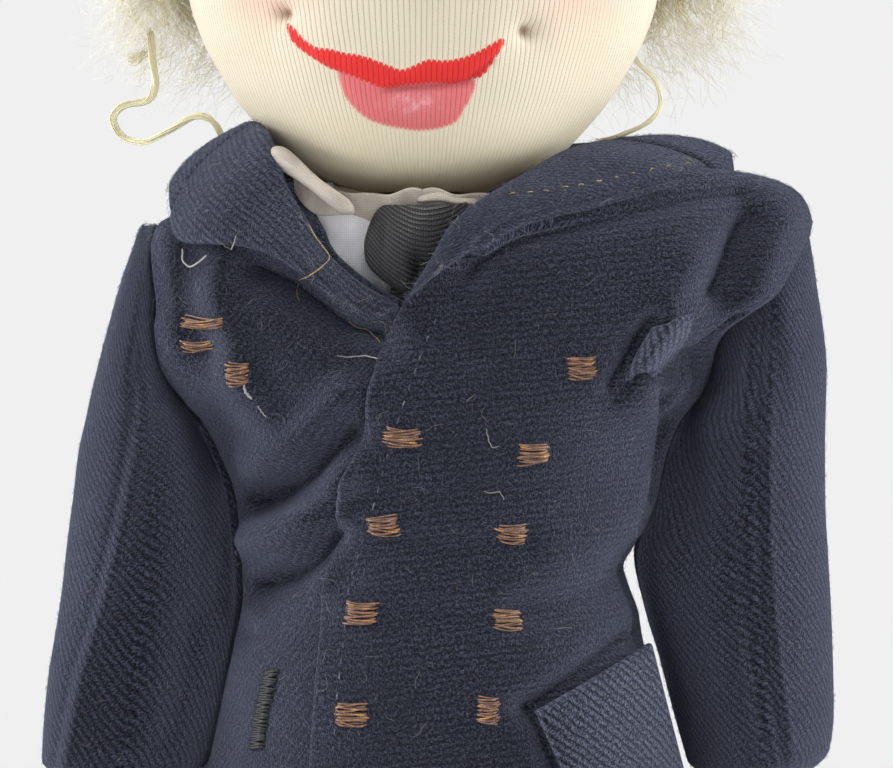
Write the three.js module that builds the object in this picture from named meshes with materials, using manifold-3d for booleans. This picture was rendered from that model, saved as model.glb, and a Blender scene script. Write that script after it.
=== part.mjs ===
// A cloth doll in a navy double-breasted wool jacket, standing and facing -Y, in millimetres.
// Left and right are the doll's own, so its left side is +X.
// Every stuffed piece, card disc, pin, cut of cloth and thread button is a solid of its own.

import * as THREE from 'three';
import { mergeVertices } from 'three/addons/utils/BufferGeometryUtils.js';
import Module from 'manifold-3d';

const wasm = await Module();
wasm.setup();

// Cloth and clearances
const gap = 0.3;
const shirtCloth = 0.6;
const trouserCloth = 1;
const woolCloth = 1.5;
const lapelCloth = 2.6;
const tieCloth = 0.7;
const threadHeight = 1.1;

// Heights and reaches of the joints
const hipHeight = 132;
const torsoLength = 105.5;
const neckRise = 14.25;
const neckOffset = -2.6;
const handReach = 97;
const sleeveLength = 75;

// Half-widths and half-depths of the stuffed body
const hipHalfWidth = 30;
const waistHalfWidth = 24.3;
const chestHalfWidth = 30;
const shoulderHalfWidth = 40;
const chestHalfDepth = 17.2;
const waistHalfDepth = 16.2;
const hipHalfDepth = 18;

// Head and hair
const faceHalfWidth = 36.8;
const faceHalfDepth = 34;
const headHeight = 75;
const hairHalfWidth = 49.5;
const hairHalfDepth = 36.5;
const hairRise = 7;
const hairLineRise = 58;

// Limbs
const armHalfDepth = 12.2;
const upperArmWidth = 11.6;
const forearmWidth = 21.2;
const thighWidth = 19.6;
const thighRadius = 11.6;
const crotchHalfWidth = 8;
const shoeLength = 43;
const shoeHalfWidth = 10.6;
const soleThickness = 3;
const soleWelt = 0.8;
const ankleHeight = 21;

// Joint hardware: two card discs on one split pin
const discRadius = 7.4;
const discThickness = 1.4;
const pinRadius = 1;
const pinHeadRadius = 2.1;
const pinHeadLength = 1.5;
const hubRadius = 9.2;
const hubDepth = 3;
const pinClearance = 0.35;

// Jacket
const coatLength = 101;
const hemFlare = 2.2;
const tieRoom = 1.3;
const sideOverlap = 16;
const pointDepth = 16.5;

// Colours
const skinColour = 0xe8dcbe;
const hairColour = 0xdcc592;
const shirtColour = 0xf1f1f3;
const wool = 0x262a42;
const tieColour = 0x15151a;
const threadColour = 0x7d5c3c;
const leatherColour = 0x18181b;
const cardColour = 0x9a8462;
const steelColour = 0x8d9196;

// Facets round a section
const bodySides = 20;
const headSides = 24;
const limbSides = 16;
const roundSides = 14;
const pinSides = 8;

// Places worked out from the sizes above
const shoulderUp = torsoLength;
const neckUp = torsoLength + neckRise;
const torsoTop = neckUp - 0.65;
const hemUp = neckUp - coatLength;
const waistUp = torsoLength * 0.59;
const shirtOuter = gap + shirtCloth;
const coatInner = shirtOuter + gap;
const overlapRaise = woolCloth + gap;
const thighOuterRadius = thighRadius + gap + trouserCloth;
const seatBottom = thighOuterRadius + gap;
const torsoBottom = seatBottom + trouserCloth + gap;
const armPlane = shoulderHalfWidth;
const sleevePlane = shoulderHalfWidth + coatInner + woolCloth + gap;
const armInner = sleevePlane + woolCloth + gap;
const legInner = crotchHalfWidth + 2 * (trouserCloth + gap) + gap;

const toward = THREE.MathUtils.lerp;
const smooth = THREE.MathUtils.smoothstep;

// Meshes and solids

function closedMesh(points, faces) {
  const corners = points.flatMap((point) => [point.x, point.y, point.z]);
  let volume = 0;
  for (const [a, b, c] of faces) {
    volume += points[a].dot(new THREE.Vector3().crossVectors(points[b], points[c]));
  }
  const outward = volume > 0 ? faces : faces.map(([a, b, c]) => [a, c, b]);
  const geometry = new THREE.BufferGeometry();
  geometry.setAttribute('position', new THREE.Float32BufferAttribute(corners, 3));
  geometry.setIndex(outward.flat());
  return geometry;
}

function solidOf(geometry) {
  const bare = geometry.clone();
  bare.deleteAttribute('normal');
  bare.deleteAttribute('uv');
  const merged = mergeVertices(bare, 1e-4);
  const mesh = new wasm.Mesh({
    numProp: 3,
    vertProperties: new Float32Array(merged.attributes.position.array),
    triVerts: new Uint32Array(merged.index.array),
  });
  return new wasm.Manifold(mesh);
}

function geometryOf(solid) {
  const mesh = solid.getMesh();
  const geometry = new THREE.BufferGeometry();
  geometry.setAttribute('position', new THREE.BufferAttribute(mesh.vertProperties, 3));
  geometry.setIndex(new THREE.BufferAttribute(mesh.triVerts, 1));
  return geometry;
}

function carved(geometry, ...cutters) {
  let solid = solidOf(geometry);
  for (const cutter of cutters) {
    solid = solid.subtract(solidOf(cutter));
  }
  return geometryOf(solid);
}

function joined(...geometries) {
  const solids = geometries.map(solidOf);
  return geometryOf(solids.reduce((whole, piece) => whole.add(piece)));
}

function kept(geometry, keeper) {
  return geometryOf(solidOf(geometry).intersect(solidOf(keeper)));
}

function mirrored(geometry) {
  const copy = mergeVertices(geometry.clone().deleteAttribute('normal').deleteAttribute('uv'), 1e-4);
  const places = copy.attributes.position;
  for (let index = 0; index < places.count; index += 1) {
    places.setX(index, -places.getX(index));
  }
  const turned = copy.index.array.slice();
  for (let index = 0; index < turned.length; index += 3) {
    [turned[index + 1], turned[index + 2]] = [turned[index + 2], turned[index + 1]];
  }
  copy.setIndex(new THREE.BufferAttribute(turned, 1));
  return copy;
}

function boxAt(x, y, z, width, depth, height) {
  return new THREE.BoxGeometry(width, depth, height).translate(x, y, z);
}

function rodAlongX(radius, from, to, y, z, sides = roundSides) {
  const rod = new THREE.CylinderGeometry(radius, radius, Math.abs(to - from), sides);
  return rod.rotateZ(Math.PI / 2).translate((from + to) / 2, y, z);
}

function rodAlongZ(radius, from, to, x, y, sides = roundSides) {
  const rod = new THREE.CylinderGeometry(radius, radius, to - from, sides);
  return rod.rotateX(Math.PI / 2).translate(x, y, (from + to) / 2);
}

// A skin through rings of points, closed by a fan at each end.
function loft(rings) {
  const count = rings[0].length;
  const points = rings.flat();
  const faces = [];
  for (let row = 0; row + 1 < rings.length; row += 1) {
    for (let step = 0; step < count; step += 1) {
      const next = (step + 1) % count;
      const here = row * count;
      const above = here + count;
      faces.push([here + step, here + next, above + next]);
      faces.push([here + step, above + next, above + step]);
    }
  }
  for (const [row, turned] of [[0, true], [rings.length - 1, false]]) {
    const centre = new THREE.Vector3();
    rings[row].forEach((point) => centre.addScaledVector(point, 1 / count));
    const hub = points.push(centre) - 1;
    for (let step = 0; step < count; step += 1) {
      const a = row * count + step;
      const b = row * count + ((step + 1) % count);
      faces.push(turned ? [b, a, hub] : [a, b, hub]);
    }
  }
  return closedMesh(points, faces);
}

// A patch of cloth between two grids of points that have the same rows and columns.
function shell(outerGrid, innerGrid) {
  const rows = outerGrid.length;
  const columns = outerGrid[0].length;
  const points = [...outerGrid.flat(), ...innerGrid.flat()];
  const outside = (row, column) => row * columns + column;
  const inside = (row, column) => rows * columns + outside(row, column);
  const faces = [];
  const quad = (a, b, c, d) => faces.push([a, b, c], [a, c, d]);
  for (let row = 0; row + 1 < rows; row += 1) {
    for (let column = 0; column + 1 < columns; column += 1) {
      const corners = [[row, column], [row, column + 1], [row + 1, column + 1], [row + 1, column]];
      quad(...corners.map((place) => outside(...place)));
      quad(...corners.map((place) => inside(...place)).reverse());
    }
  }
  const wall = (from, to) => quad(outside(...to), outside(...from), inside(...from), inside(...to));
  for (let column = 0; column + 1 < columns; column += 1) {
    wall([0, column], [0, column + 1]);
    wall([rows - 1, column + 1], [rows - 1, column]);
  }
  for (let row = 0; row + 1 < rows; row += 1) {
    wall([row + 1, 0], [row, 0]);
    wall([row, columns - 1], [row + 1, columns - 1]);
  }
  return closedMesh(points, faces);
}

// A tube of cloth between two stacks of rings, open at both ends.
function tube(outerRings, innerRings) {
  const rows = outerRings.length;
  const count = outerRings[0].length;
  const points = [...outerRings.flat(), ...innerRings.flat()];
  const outside = (row, step) => row * count + (step % count);
  const inside = (row, step) => rows * count + outside(row, step);
  const faces = [];
  const quad = (a, b, c, d) => faces.push([a, b, c], [a, c, d]);
  for (let step = 0; step < count; step += 1) {
    for (let row = 0; row + 1 < rows; row += 1) {
      quad(outside(row, step), outside(row, step + 1), outside(row + 1, step + 1), outside(row + 1, step));
      quad(inside(row + 1, step), inside(row + 1, step + 1), inside(row, step + 1), inside(row, step));
    }
    quad(inside(0, step), inside(0, step + 1), outside(0, step + 1), outside(0, step));
    const top = rows - 1;
    quad(outside(top, step), outside(top, step + 1), inside(top, step + 1), inside(top, step));
  }
  return closedMesh(points, faces);
}

function slopeOf(surface, a, b) {
  const step = 1e-3;
  const alongA = surface(a + step, b).sub(surface(a - step, b));
  const alongB = surface(a, b + step).sub(surface(a, b - step));
  return alongA.cross(alongB).normalize();
}

// A sheet of even thickness about a surface given over 0 to 1 both ways.
function sheet(surface, rows, columns, thickness) {
  const side = (sign) => Array.from({ length: rows + 1 }, (_, row) => (
    Array.from({ length: columns + 1 }, (_unused, column) => {
      const a = toward(0.002, 0.998, row / rows);
      const b = toward(0.002, 0.998, column / columns);
      return surface(a, b).addScaledVector(slopeOf(surface, a, b), sign * thickness / 2);
    })
  ));
  return shell(side(1), side(-1));
}

// A number between the rows of a table, with rounded changes of slope.
function between(rows, keyName, name, key) {
  let place = rows.findIndex((row) => row[keyName] > key) - 1;
  if (place < 0) {
    place = key < rows[0][keyName] ? 0 : rows.length - 2;
  }
  const tangent = (index) => {
    const before = rows[Math.max(index - 1, 0)];
    const after = rows[Math.min(index + 1, rows.length - 1)];
    return (after[name] - before[name]) / (after[keyName] - before[keyName]);
  };
  const from = rows[place];
  const to = rows[place + 1];
  const span = to[keyName] - from[keyName];
  const t = THREE.MathUtils.clamp((key - from[keyName]) / span, 0, 1);
  const ease = t * t * (3 - 2 * t);
  const rise = t * (1 - t) * ((1 - t) * tangent(place) - t * tangent(place + 1)) * span;
  return toward(from[name], to[name], ease) + rise;
}

// A rounded oval; a roundness of 2 is an ellipse and more is squarer.
function ovalPoint(angle, across, deep, roundness, x, y, z) {
  const power = 2 / roundness;
  const sideways = Math.sin(angle);
  const forwards = Math.cos(angle);
  return new THREE.Vector3(
    x + across * Math.sign(sideways) * Math.abs(sideways) ** power,
    y - deep * Math.sign(forwards) * Math.abs(forwards) ** power,
    z,
  );
}

function ovalLoft(rows, sides, grow = 0) {
  return loft(rows.map((row) => Array.from({ length: sides }, (_, step) => ovalPoint(
    (step + 0.5) / sides * 2 * Math.PI,
    row.across + grow,
    row.deep + grow,
    row.roundness ?? 2.2,
    row.x ?? 0,
    row.y ?? 0,
    row.up,
  ))));
}

// Stuffed body

const belowWaist = toward(torsoBottom, waistUp, 0.55);
const bodyRows = [
  { up: torsoBottom, across: hipHalfWidth - 2.5, deep: hipHalfDepth - 1, roundness: 2.3 },
  { up: torsoBottom + 11, across: hipHalfWidth, deep: hipHalfDepth, roundness: 2.3 },
  { up: belowWaist, across: hipHalfWidth - 2, deep: hipHalfDepth - 0.7, roundness: 2.3 },
  { up: waistUp - 8, across: waistHalfWidth + 0.7, deep: waistHalfDepth + 0.3, roundness: 2.3 },
  { up: waistUp, across: waistHalfWidth, deep: waistHalfDepth, roundness: 2.3 },
  { up: waistUp + 10, across: waistHalfWidth + 2.2, deep: waistHalfDepth + 0.6, roundness: 2.3 },
  { up: shoulderUp - 23.5, across: chestHalfWidth - 0.7, deep: chestHalfDepth, roundness: 2.3 },
  { up: shoulderUp - 16.5, across: chestHalfWidth + 0.5, deep: chestHalfDepth + 0.3, roundness: 2.3 },
  { up: shoulderUp - 10.5, across: shoulderHalfWidth - 5.5, deep: chestHalfDepth + 0.3, roundness: 2.3 },
  { up: shoulderUp - 4.5, across: shoulderHalfWidth - 1.2, deep: chestHalfDepth, roundness: 2.3 },
  { up: shoulderUp + 0.5, across: shoulderHalfWidth + 0.2, deep: chestHalfDepth - 0.4, roundness: 2.3 },
  { up: shoulderUp + 5.5, across: shoulderHalfWidth + 0.1, deep: chestHalfDepth - 1.4, roundness: 2.2 },
  { up: shoulderUp + 9.5, across: shoulderHalfWidth - 2, deep: chestHalfDepth - 3.2, roundness: 2.1 },
  { up: shoulderUp + 12, across: shoulderHalfWidth - 7, deep: chestHalfDepth - 4.7, roundness: 2 },
  { up: shoulderUp + 13, across: shoulderHalfWidth - 13, deep: chestHalfDepth - 5.2, roundness: 2 },
  { up: torsoTop - 0.15, across: shoulderHalfWidth - 21, deep: chestHalfDepth - 5.8, roundness: 2 },
  { up: torsoTop, across: shoulderHalfWidth - 27, deep: chestHalfDepth - 6.2, roundness: 2 },
].map((row, step) => ({ ...row, step }));
const lastBodyStep = bodyRows.length - 1;

function bodyStepAt(up) {
  let low = 0;
  let high = lastBodyStep;
  for (let round = 0; round < 30; round += 1) {
    const middle = (low + high) / 2;
    if (between(bodyRows, 'step', 'up', middle) < up) {
      low = middle;
    } else {
      high = middle;
    }
  }
  return (low + high) / 2;
}

function bodySkin(angle, step) {
  const value = (name) => between(bodyRows, 'step', name, step);
  return ovalPoint(angle, value('across'), value('deep'), value('roundness'), 0, 0, value('up'));
}

function bodyCorner(turn, step, stand) {
  const angle = turn / bodySides * 2 * Math.PI;
  const clear = THREE.MathUtils.clamp(step, 0.01, lastBodyStep - 0.01);
  const off = stand(Math.atan2(Math.sin(angle), Math.cos(angle)), bodyRows[step].up);
  return bodySkin(angle, step).addScaledVector(slopeOf(bodySkin, angle, clear), off);
}

// A point on the flat facets of a layer that stands off the body, so that layers lie parallel.
function layerPoint(angle, step, stand) {
  const place = angle / (2 * Math.PI) * bodySides;
  const turn = Math.floor(place);
  const row = Math.min(Math.floor(step), lastBodyStep - 1);
  const along = (level) => {
    const next = bodyCorner(turn + 1, level, stand);
    return bodyCorner(turn, level, stand).lerp(next, place - turn);
  };
  return along(row).lerp(along(row + 1), step - row);
}

function layerRing(step, stand) {
  return Array.from({ length: bodySides }, (_, turn) => (
    layerPoint(turn / bodySides * 2 * Math.PI, step, stand)
  ));
}

function layerSteps(from, to) {
  const inner = bodyRows.map((row) => row.step).filter((step) => step > from + 0.1 && step < to - 0.1);
  return [from, ...inner, to];
}

// A layer of cloth all round the body between two heights.
function bodyLayer(from, to, inner, outer) {
  const steps = layerSteps(bodyStepAt(from), bodyStepAt(to));
  return tube(steps.map((step) => layerRing(step, outer)), steps.map((step) => layerRing(step, inner)));
}

// The angle at which a layer reaches a place across the front.
function angleAt(x, step, stand) {
  let low = -Math.PI / 2 + 0.02;
  let high = Math.PI / 2 - 0.02;
  for (let round = 0; round < 26; round += 1) {
    const middle = (low + high) / 2;
    if (layerPoint(middle, step, stand).x < x) {
      low = middle;
    } else {
      high = middle;
    }
  }
  return (low + high) / 2;
}

// A four-cornered patch on the front; corners go low inner, low outer, high outer, high inner.
function frontPatch(corners, rows, columns, inner, outer) {
  const face = (stand) => Array.from({ length: rows + 1 }, (_, row) => (
    Array.from({ length: columns + 1 }, (_unused, column) => {
      const a = column / columns;
      const b = row / rows;
      const [x, up] = [0, 1].map((axis) => toward(
        toward(corners[0][axis], corners[1][axis], a),
        toward(corners[3][axis], corners[2][axis], a),
        b,
      ));
      const step = bodyStepAt(up);
      return layerPoint(angleAt(x, step, inner), step, stand);
    })
  ));
  return shell(face(outer), face(inner));
}

// Jacket surfaces

const pointUp = torsoTop - pointDepth;
const hemSpread = (up) => hemFlare * (1 - smooth(up, hemUp, waistUp));
const frontRoom = (angle) => tieRoom * Math.max(Math.cos(angle), 0) ** 2;
const coatIn = (angle, up) => coatInner + hemSpread(up) + frontRoom(angle);
const coatOut = (angle, up) => coatIn(angle, up) + woolCloth;

// The left front lies over the right front, so it stands off until it has passed that edge.
const overAngle = 0.9;
const clearAngle = 1.25;
const lift = (angle) => overlapRaise * (1 - smooth(Math.abs(angle), overAngle, clearAngle));
const leftIn = (angle, up) => coatIn(angle, up) + lift(angle);
const leftOut = (angle, up) => leftIn(angle, up) + woolCloth;

// Edges of the two fronts seen from the front, from the hem to the neck, as across and height
const overEdge = [
  [-sideOverlap - 7, hemUp - 5],
  [-sideOverlap - 6, hemUp + 12],
  [-sideOverlap + 2.5, waistUp],
  [-sideOverlap + 9.5, pointUp],
  [-sideOverlap + 16, pointUp + 6],
  [-sideOverlap + 26, pointUp + 12],
  [-sideOverlap + 31, torsoTop + 12],
];
const underEdge = [
  [sideOverlap - 2, hemUp - 5],
  [sideOverlap - 6, waistUp],
  [sideOverlap - 10, pointUp - 8],
  [-sideOverlap + 5, pointUp + 1],
  [-sideOverlap - 3, pointUp + 8],
  [-sideOverlap - 2, torsoTop + 12],
];

const coatNeckUp = torsoTop - 0.14;
const shirtBottom = waistUp - 8;
const trouserTop = shirtBottom - gap;
const farOut = shoulderHalfWidth + 20;
const coatNeckRadius = 19.4;
const shirtNeckRadius = 12.5;

// A round neck opening that widens upwards, as the head does.
function neckCut(radius) {
  const ring = (up, size) => ({ up, across: size, deep: size, x: neckOffset, roundness: 2 });
  return ovalLoft([
    ring(shoulderUp + 7, radius),
    ring(neckUp + 1, radius),
    ring(neckUp + 8, radius + 8),
  ], bodySides);
}

function armholeCut(side) {
  return rodAlongX(hubRadius + gap, side * (armPlane - 6), side * (sleevePlane + 6), 0, shoulderUp);
}

// Everything in front of the side seams, from one edge out to one side.
function frontSpace(edge, side) {
  const curve = new THREE.SplineCurve(edge.map((point) => new THREE.Vector2(...point)));
  const outline = curve.getPoints(20);
  outline.push(new THREE.Vector2(side * farOut, edge[edge.length - 1][1]));
  outline.push(new THREE.Vector2(side * farOut, edge[0][1]));
  const depth = 2 * chestHalfDepth + 20;
  const space = new THREE.ExtrudeGeometry(new THREE.Shape(outline), { depth, bevelEnabled: false });
  return space.rotateX(Math.PI / 2).translate(0, -gap / 2, 0);
}

function coatPiece(inner, outer, region, sides) {
  const layer = bodyLayer(hemUp, coatNeckUp, inner, outer);
  return carved(kept(layer, region), neckCut(coatNeckRadius), ...sides.map(armholeCut));
}

const backSpace = () => boxAt(0, gap / 2 + 30, shoulderUp / 2, 2 * farOut, 60, 2 * torsoLength);
const coatBack = () => coatPiece(coatIn, coatOut, backSpace(), [-1, 1]);
const coatLeftFront = () => coatPiece(leftIn, leftOut, frontSpace(overEdge, 1), [1]);
const coatRightFront = () => coatPiece(coatIn, coatOut, frontSpace(underEdge, -1), [-1]);

// The space that the finished fronts and back fill, for pieces that lie on top of them.
function coatSpace(stand) {
  const clear = (angle, up) => stand(angle, up) + gap;
  return loft(layerSteps(bodyStepAt(hemUp), lastBodyStep).map((step) => layerRing(step, clear)));
}

// Collar and lapels, each a leaf between a roll line at the neck and a free outer edge

function pathOf(points) {
  return new THREE.CatmullRomCurve3(points.map((point) => new THREE.Vector3(...point)), false, 'centripetal');
}

const collarTop = neckUp + 10.2;
const rollBack = [neckOffset, 27.5, collarTop - 0.5];
const edgeBack = [neckOffset, 21.8, neckUp - 8];
const leafReach = armPlane + 2;
const rollLeft = pathOf([
  rollBack,
  [17, 20, collarTop],
  [27, 2, collarTop],
  [25.5, -13, collarTop - 1.6],
  [16.7, -21.5, collarTop - 4.6],
  [6.5, -25, neckUp - 0.5],
  [0.5, -26.5, neckUp - 8],
  [-3.5, -26.8, pointUp + 1.5],
]);
const edgeLeft = pathOf([
  edgeBack,
  [23, 20.5, neckUp - 5],
  [leafReach - 2, 4, neckUp + 2.6],
  [leafReach, -8, neckUp + 2.8],
  [36, -18, neckUp + 0.2],
  [22.5, -24, neckUp - 4],
  [11, -26.8, neckUp - 7.5],
  [2.5, -27.2, pointUp - 1],
]);
const rollRight = pathOf([
  rollBack,
  [-21, 20, collarTop],
  [-31, 2, collarTop + 0.5],
  [-29.5, -11, collarTop - 0.5],
  [-24.5, -18.5, neckUp + 4],
  [-17.2, -23.5, neckUp - 9],
  [-13, -25, pointUp + 3],
]);
const edgeRight = pathOf([
  edgeBack,
  [-26, 20.5, neckUp - 5],
  [-leafReach + 1, 4, neckUp + 1.8],
  [-leafReach, -9, neckUp],
  [-leafReach + 1, -17, neckUp - 7],
  [-29, -23, neckUp - 9],
  [-20, -25.5, pointUp + 0.5],
]);
const gorge = 0.52;
const standRadius = 22.6;

function leafPoint(roll, edge, along, across) {
  const fold = roll.getPoint(along);
  const free = edge.getPoint(along);
  const crown = 1.6 * Math.sin(Math.PI * across);
  return fold.lerp(free, across).add(new THREE.Vector3(0, 0, crown));
}

function lapel(roll, edge, cutter) {
  const start = gorge + 0.01;
  const surface = (along, across) => leafPoint(roll, edge, toward(start, 0.985, along), across);
  return carved(sheet(surface, 8, 3, lapelCloth), cutter);
}

// The collar is one fold: a stand inside, up against the neck, and a fall outside.
function collarPoint(along, across) {
  const toLeft = along >= 0.5;
  const part = Math.abs(along - 0.5) * 2 * (gorge - 0.01);
  const roll = toLeft ? rollLeft : rollRight;
  const edge = toLeft ? edgeLeft : edgeRight;
  if (across > 0.34) {
    return leafPoint(roll, edge, part, (across - 0.34) / 0.66);
  }
  const fold = roll.getPoint(part);
  const outwards = new THREE.Vector2(fold.x - neckOffset, fold.y).setLength(standRadius);
  const low = new THREE.Vector3(neckOffset + outwards.x, outwards.y, neckUp + 2.6);
  return low.lerp(fold, across / 0.34);
}

function jacketCollar(cutters) {
  return carved(sheet(collarPoint, 20, 6, woolCloth), ...cutters);
}

// Head and hair, with heights above the neck

const headRows = [
  { up: 0.15, across: 0.25, deep: 0.25 },
  { up: 1, across: 0.345, deep: 0.355 },
  { up: 2.1, across: 0.43, deep: 0.44 },
  { up: 4.1, across: 0.522, deep: 0.535 },
  { up: 6.8, across: 0.6, deep: 0.61 },
  { up: 9.9, across: 0.68, deep: 0.685 },
  { up: 14.5, across: 0.783, deep: 0.782 },
  { up: 18.5, across: 0.85, deep: 0.845 },
  { up: 24, across: 0.93, deep: 0.92 },
  { up: 30.5, across: 0.985, deep: 0.975 },
  { up: 38, across: 1, deep: 1 },
  { up: 48, across: 0.965, deep: 0.985 },
  { up: 58, across: 0.85, deep: 0.88 },
  { up: 66, across: 0.665, deep: 0.69 },
  { up: 71, across: 0.46, deep: 0.48 },
  { up: 74, across: 0.25, deep: 0.26 },
  { up: 75, across: 0.08, deep: 0.09 },
].map((row) => ({
  up: row.up * headHeight / 75,
  across: row.across * faceHalfWidth,
  deep: row.deep * faceHalfDepth,
  roundness: 2.12,
}));

function headRadiusAt(up) {
  return Math.max(between(headRows, 'up', 'across', up), between(headRows, 'up', 'deep', up));
}

function stuffedHead() {
  const skull = ovalLoft(headRows, headSides);
  const nose = new THREE.SphereGeometry(1, 10, 6).scale(4.2, 4, 4.6);
  const noseUp = headHeight * 0.435;
  nose.translate(0, -between(headRows, 'up', 'deep', noseUp) + 1.1, noseUp);
  return carved(joined(skull, nose), ...neckCuts(1));
}

const hairRows = [
  { up: 13.5, across: 0.74, deep: 0.74, y: 6 },
  { up: 18, across: 0.9, deep: 0.9, y: 4.6 },
  { up: 27, across: 0.985, deep: 0.98, y: 2.6 },
  { up: 38, across: 1, deep: 1, y: 2.2 },
  { up: 50, across: 0.96, deep: 0.97, y: 2.2 },
  { up: 61, across: 0.86, deep: 0.88, y: 2.2 },
  { up: 71, across: 0.68, deep: 0.71, y: 2 },
  { up: 78, across: 0.43, deep: 0.47, y: 2 },
  { up: headHeight + hairRise, across: 0.14, deep: 0.16, y: 2 },
].map((row) => ({
  up: row.up,
  across: row.across * hairHalfWidth,
  deep: row.deep * hairHalfDepth,
  y: row.y,
  roundness: 2.1,
}));

function hairWig() {
  const mass = ovalLoft(hairRows, headSides);
  const faceWindow = new THREE.CylinderGeometry(1, 1, 80, 24);
  faceWindow.scale(hairHalfWidth + 3, 1, hairLineRise - 22).translate(0, -44, 22);
  const headRoom = ovalLoft(headRows, headSides, gap + 0.1);
  return carved(mass, faceWindow, headRoom);
}

// Disc joints

function discCuts(direction) {
  const cut = (radius, length, sides) => rodAlongX(radius, -direction * gap, direction * length, 0, 0, sides);
  return [
    cut(discRadius + gap, gap + discThickness + gap, roundSides),
    cut(pinHeadRadius + gap, gap * 3 + discThickness + pinHeadLength, pinSides),
  ];
}

function neckCuts(direction) {
  return discCuts(-direction).map((cutter) => cutter.rotateY(Math.PI / 2));
}

function cardDisc(direction) {
  const disc = rodAlongX(discRadius, direction * gap, direction * (gap + discThickness), 0, 0);
  return carved(disc, rodAlongX(pinRadius + pinClearance, -4, 4, 0, 0, pinSides));
}

function splitPin() {
  const reach = gap * 2 + discThickness;
  const shank = rodAlongX(pinRadius, -reach - pinHeadLength / 2, reach + pinHeadLength / 2, 0, 0, pinSides);
  const heads = [-1, 1].map((side) => (
    rodAlongX(pinHeadRadius, side * reach, side * (reach + pinHeadLength), 0, 0, pinSides)
  ));
  return joined(shank, ...heads);
}

// Torso, with its neck stump, flat shoulder seats and crotch tab

function crotchTab(halfWidth, grow) {
  const round = rodAlongX(11 + grow, -halfWidth, halfWidth, 0, 0);
  const neck = boxAt(0, 0, (torsoBottom + 2) / 2, 2 * halfWidth, 2 * (11 + grow), torsoBottom + 2);
  return joined(round, neck);
}

function stuffedTorso() {
  const rings = bodyRows.map((row) => layerRing(row.step, () => 0));
  const slab = boxAt(0, 0, torsoLength / 2, 2 * armPlane, 200, 2 * torsoLength);
  const trunk = kept(loft(rings), slab);
  const stump = rodAlongZ(hubRadius, torsoTop - 2, neckUp - gap / 2, neckOffset, 0);
  const whole = joined(trunk, stump, crotchTab(crotchHalfWidth, 0));
  const cuts = [];
  for (const side of [-1, 1]) {
    discCuts(-side).forEach((cut) => cuts.push(cut.translate(side * armPlane, 0, shoulderUp)));
    discCuts(-side).forEach((cut) => cuts.push(cut.translate(side * crotchHalfWidth, 0, 0)));
  }
  neckCuts(-1).forEach((cut) => cuts.push(cut.translate(neckOffset, 0, neckUp - gap / 2)));
  return carved(whole, ...cuts);
}

// Arms, in their own frame at the shoulder, with down counted below the pivot

function armRow(down, inner, outer, deep) {
  return { up: -down, across: (outer - inner) / 2, deep, x: (outer + inner) / 2, roundness: 2.25 };
}

const armOuter = armInner + upperArmWidth;
const elbowInner = armOuter + 0.9 - forearmWidth;
const armTopRows = [
  armRow(-12, armInner + 4.6, armOuter - 4.2, 3.6),
  armRow(-10.4, armInner + 1.8, armOuter - 1.8, 7.4),
  armRow(-6, armInner, armOuter - 0.5, 10.9),
  armRow(2, armInner, armOuter, armHalfDepth),
  armRow(14, armInner, armOuter + 0.4, armHalfDepth),
  armRow(21.5, armInner, armOuter + 0.5, armHalfDepth - 0.2),
  armRow(27.5, elbowInner, armOuter + 0.7, armHalfDepth - 0.4),
  armRow(36, elbowInner - 0.4, armOuter + 0.9, armHalfDepth - 0.4),
  armRow(52, elbowInner, armOuter + 1.4, armHalfDepth - 0.9),
];
const handRows = [
  armRow(sleeveLength - 11, elbowInner + 1.6, armOuter + 1.6, armHalfDepth - 2),
  armRow(sleeveLength - 1, elbowInner + 4.6, armOuter + 1.3, armHalfDepth - 4.4),
  armRow(sleeveLength + 5, elbowInner + 6, armOuter + 0.6, armHalfDepth - 6),
  armRow(sleeveLength + 11, elbowInner + 5, armOuter + 1, armHalfDepth - 5.8),
  armRow(handReach - 4.5, elbowInner + 6.2, armOuter + 0.2, armHalfDepth - 6.8),
  armRow(handReach - 1, elbowInner + 8.4, armOuter - 2, armHalfDepth - 8.6),
  armRow(handReach, elbowInner + 10.5, armOuter - 4.5, armHalfDepth - 10.4),
];

const thumbLength = 13;

function stuffedArm() {
  const limb = ovalLoft([...armTopRows, ...handRows], limbSides);
  const hub = rodAlongX(hubRadius, armPlane + gap, armInner + hubDepth, 0, 0);
  const thumb = new THREE.SphereGeometry(1, 8, 6).scale(2.8, 3, thumbLength / 2);
  thumb.rotateX(-0.4).translate(elbowInner + 10, -armHalfDepth + 4.6, -sleeveLength - thumbLength * 0.7);
  const cuts = discCuts(1).map((cut) => cut.translate(armPlane + gap, 0, 0));
  return carved(joined(limb, hub, thumb), ...cuts);
}

function sleeveRows(grow) {
  const ease = 1.6;
  const run = armTopRows.map((row) => ({
    ...row,
    across: row.across + grow,
    deep: row.deep + grow,
    up: row.up + (row.up > 8 ? grow : 0),
  }));
  const last = armRow(sleeveLength, elbowInner + 2.3, armOuter + 2.4, armHalfDepth - 0.5);
  run.push({ ...last, across: last.across + grow + ease - 1, deep: last.deep + grow + ease - 1 });
  return run;
}

function woolSleeve() {
  const outside = ovalLoft(sleeveRows(gap + woolCloth), limbSides);
  const hollow = sleeveRows(gap);
  const end = hollow[hollow.length - 1];
  hollow.push({ ...end, up: end.up - 5 });
  const hole = rodAlongX(hubRadius + gap, armPlane - 2, armInner + hubDepth + gap, 0, 0);
  return carved(outside, ovalLoft(hollow, limbSides), hole);
}

// Legs, in their own frame at the hip

function legRow(down, inner, outer, deep) {
  return { up: -down, across: (outer - inner) / 2, deep, x: (outer + inner) / 2, roundness: 2.25 };
}

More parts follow.
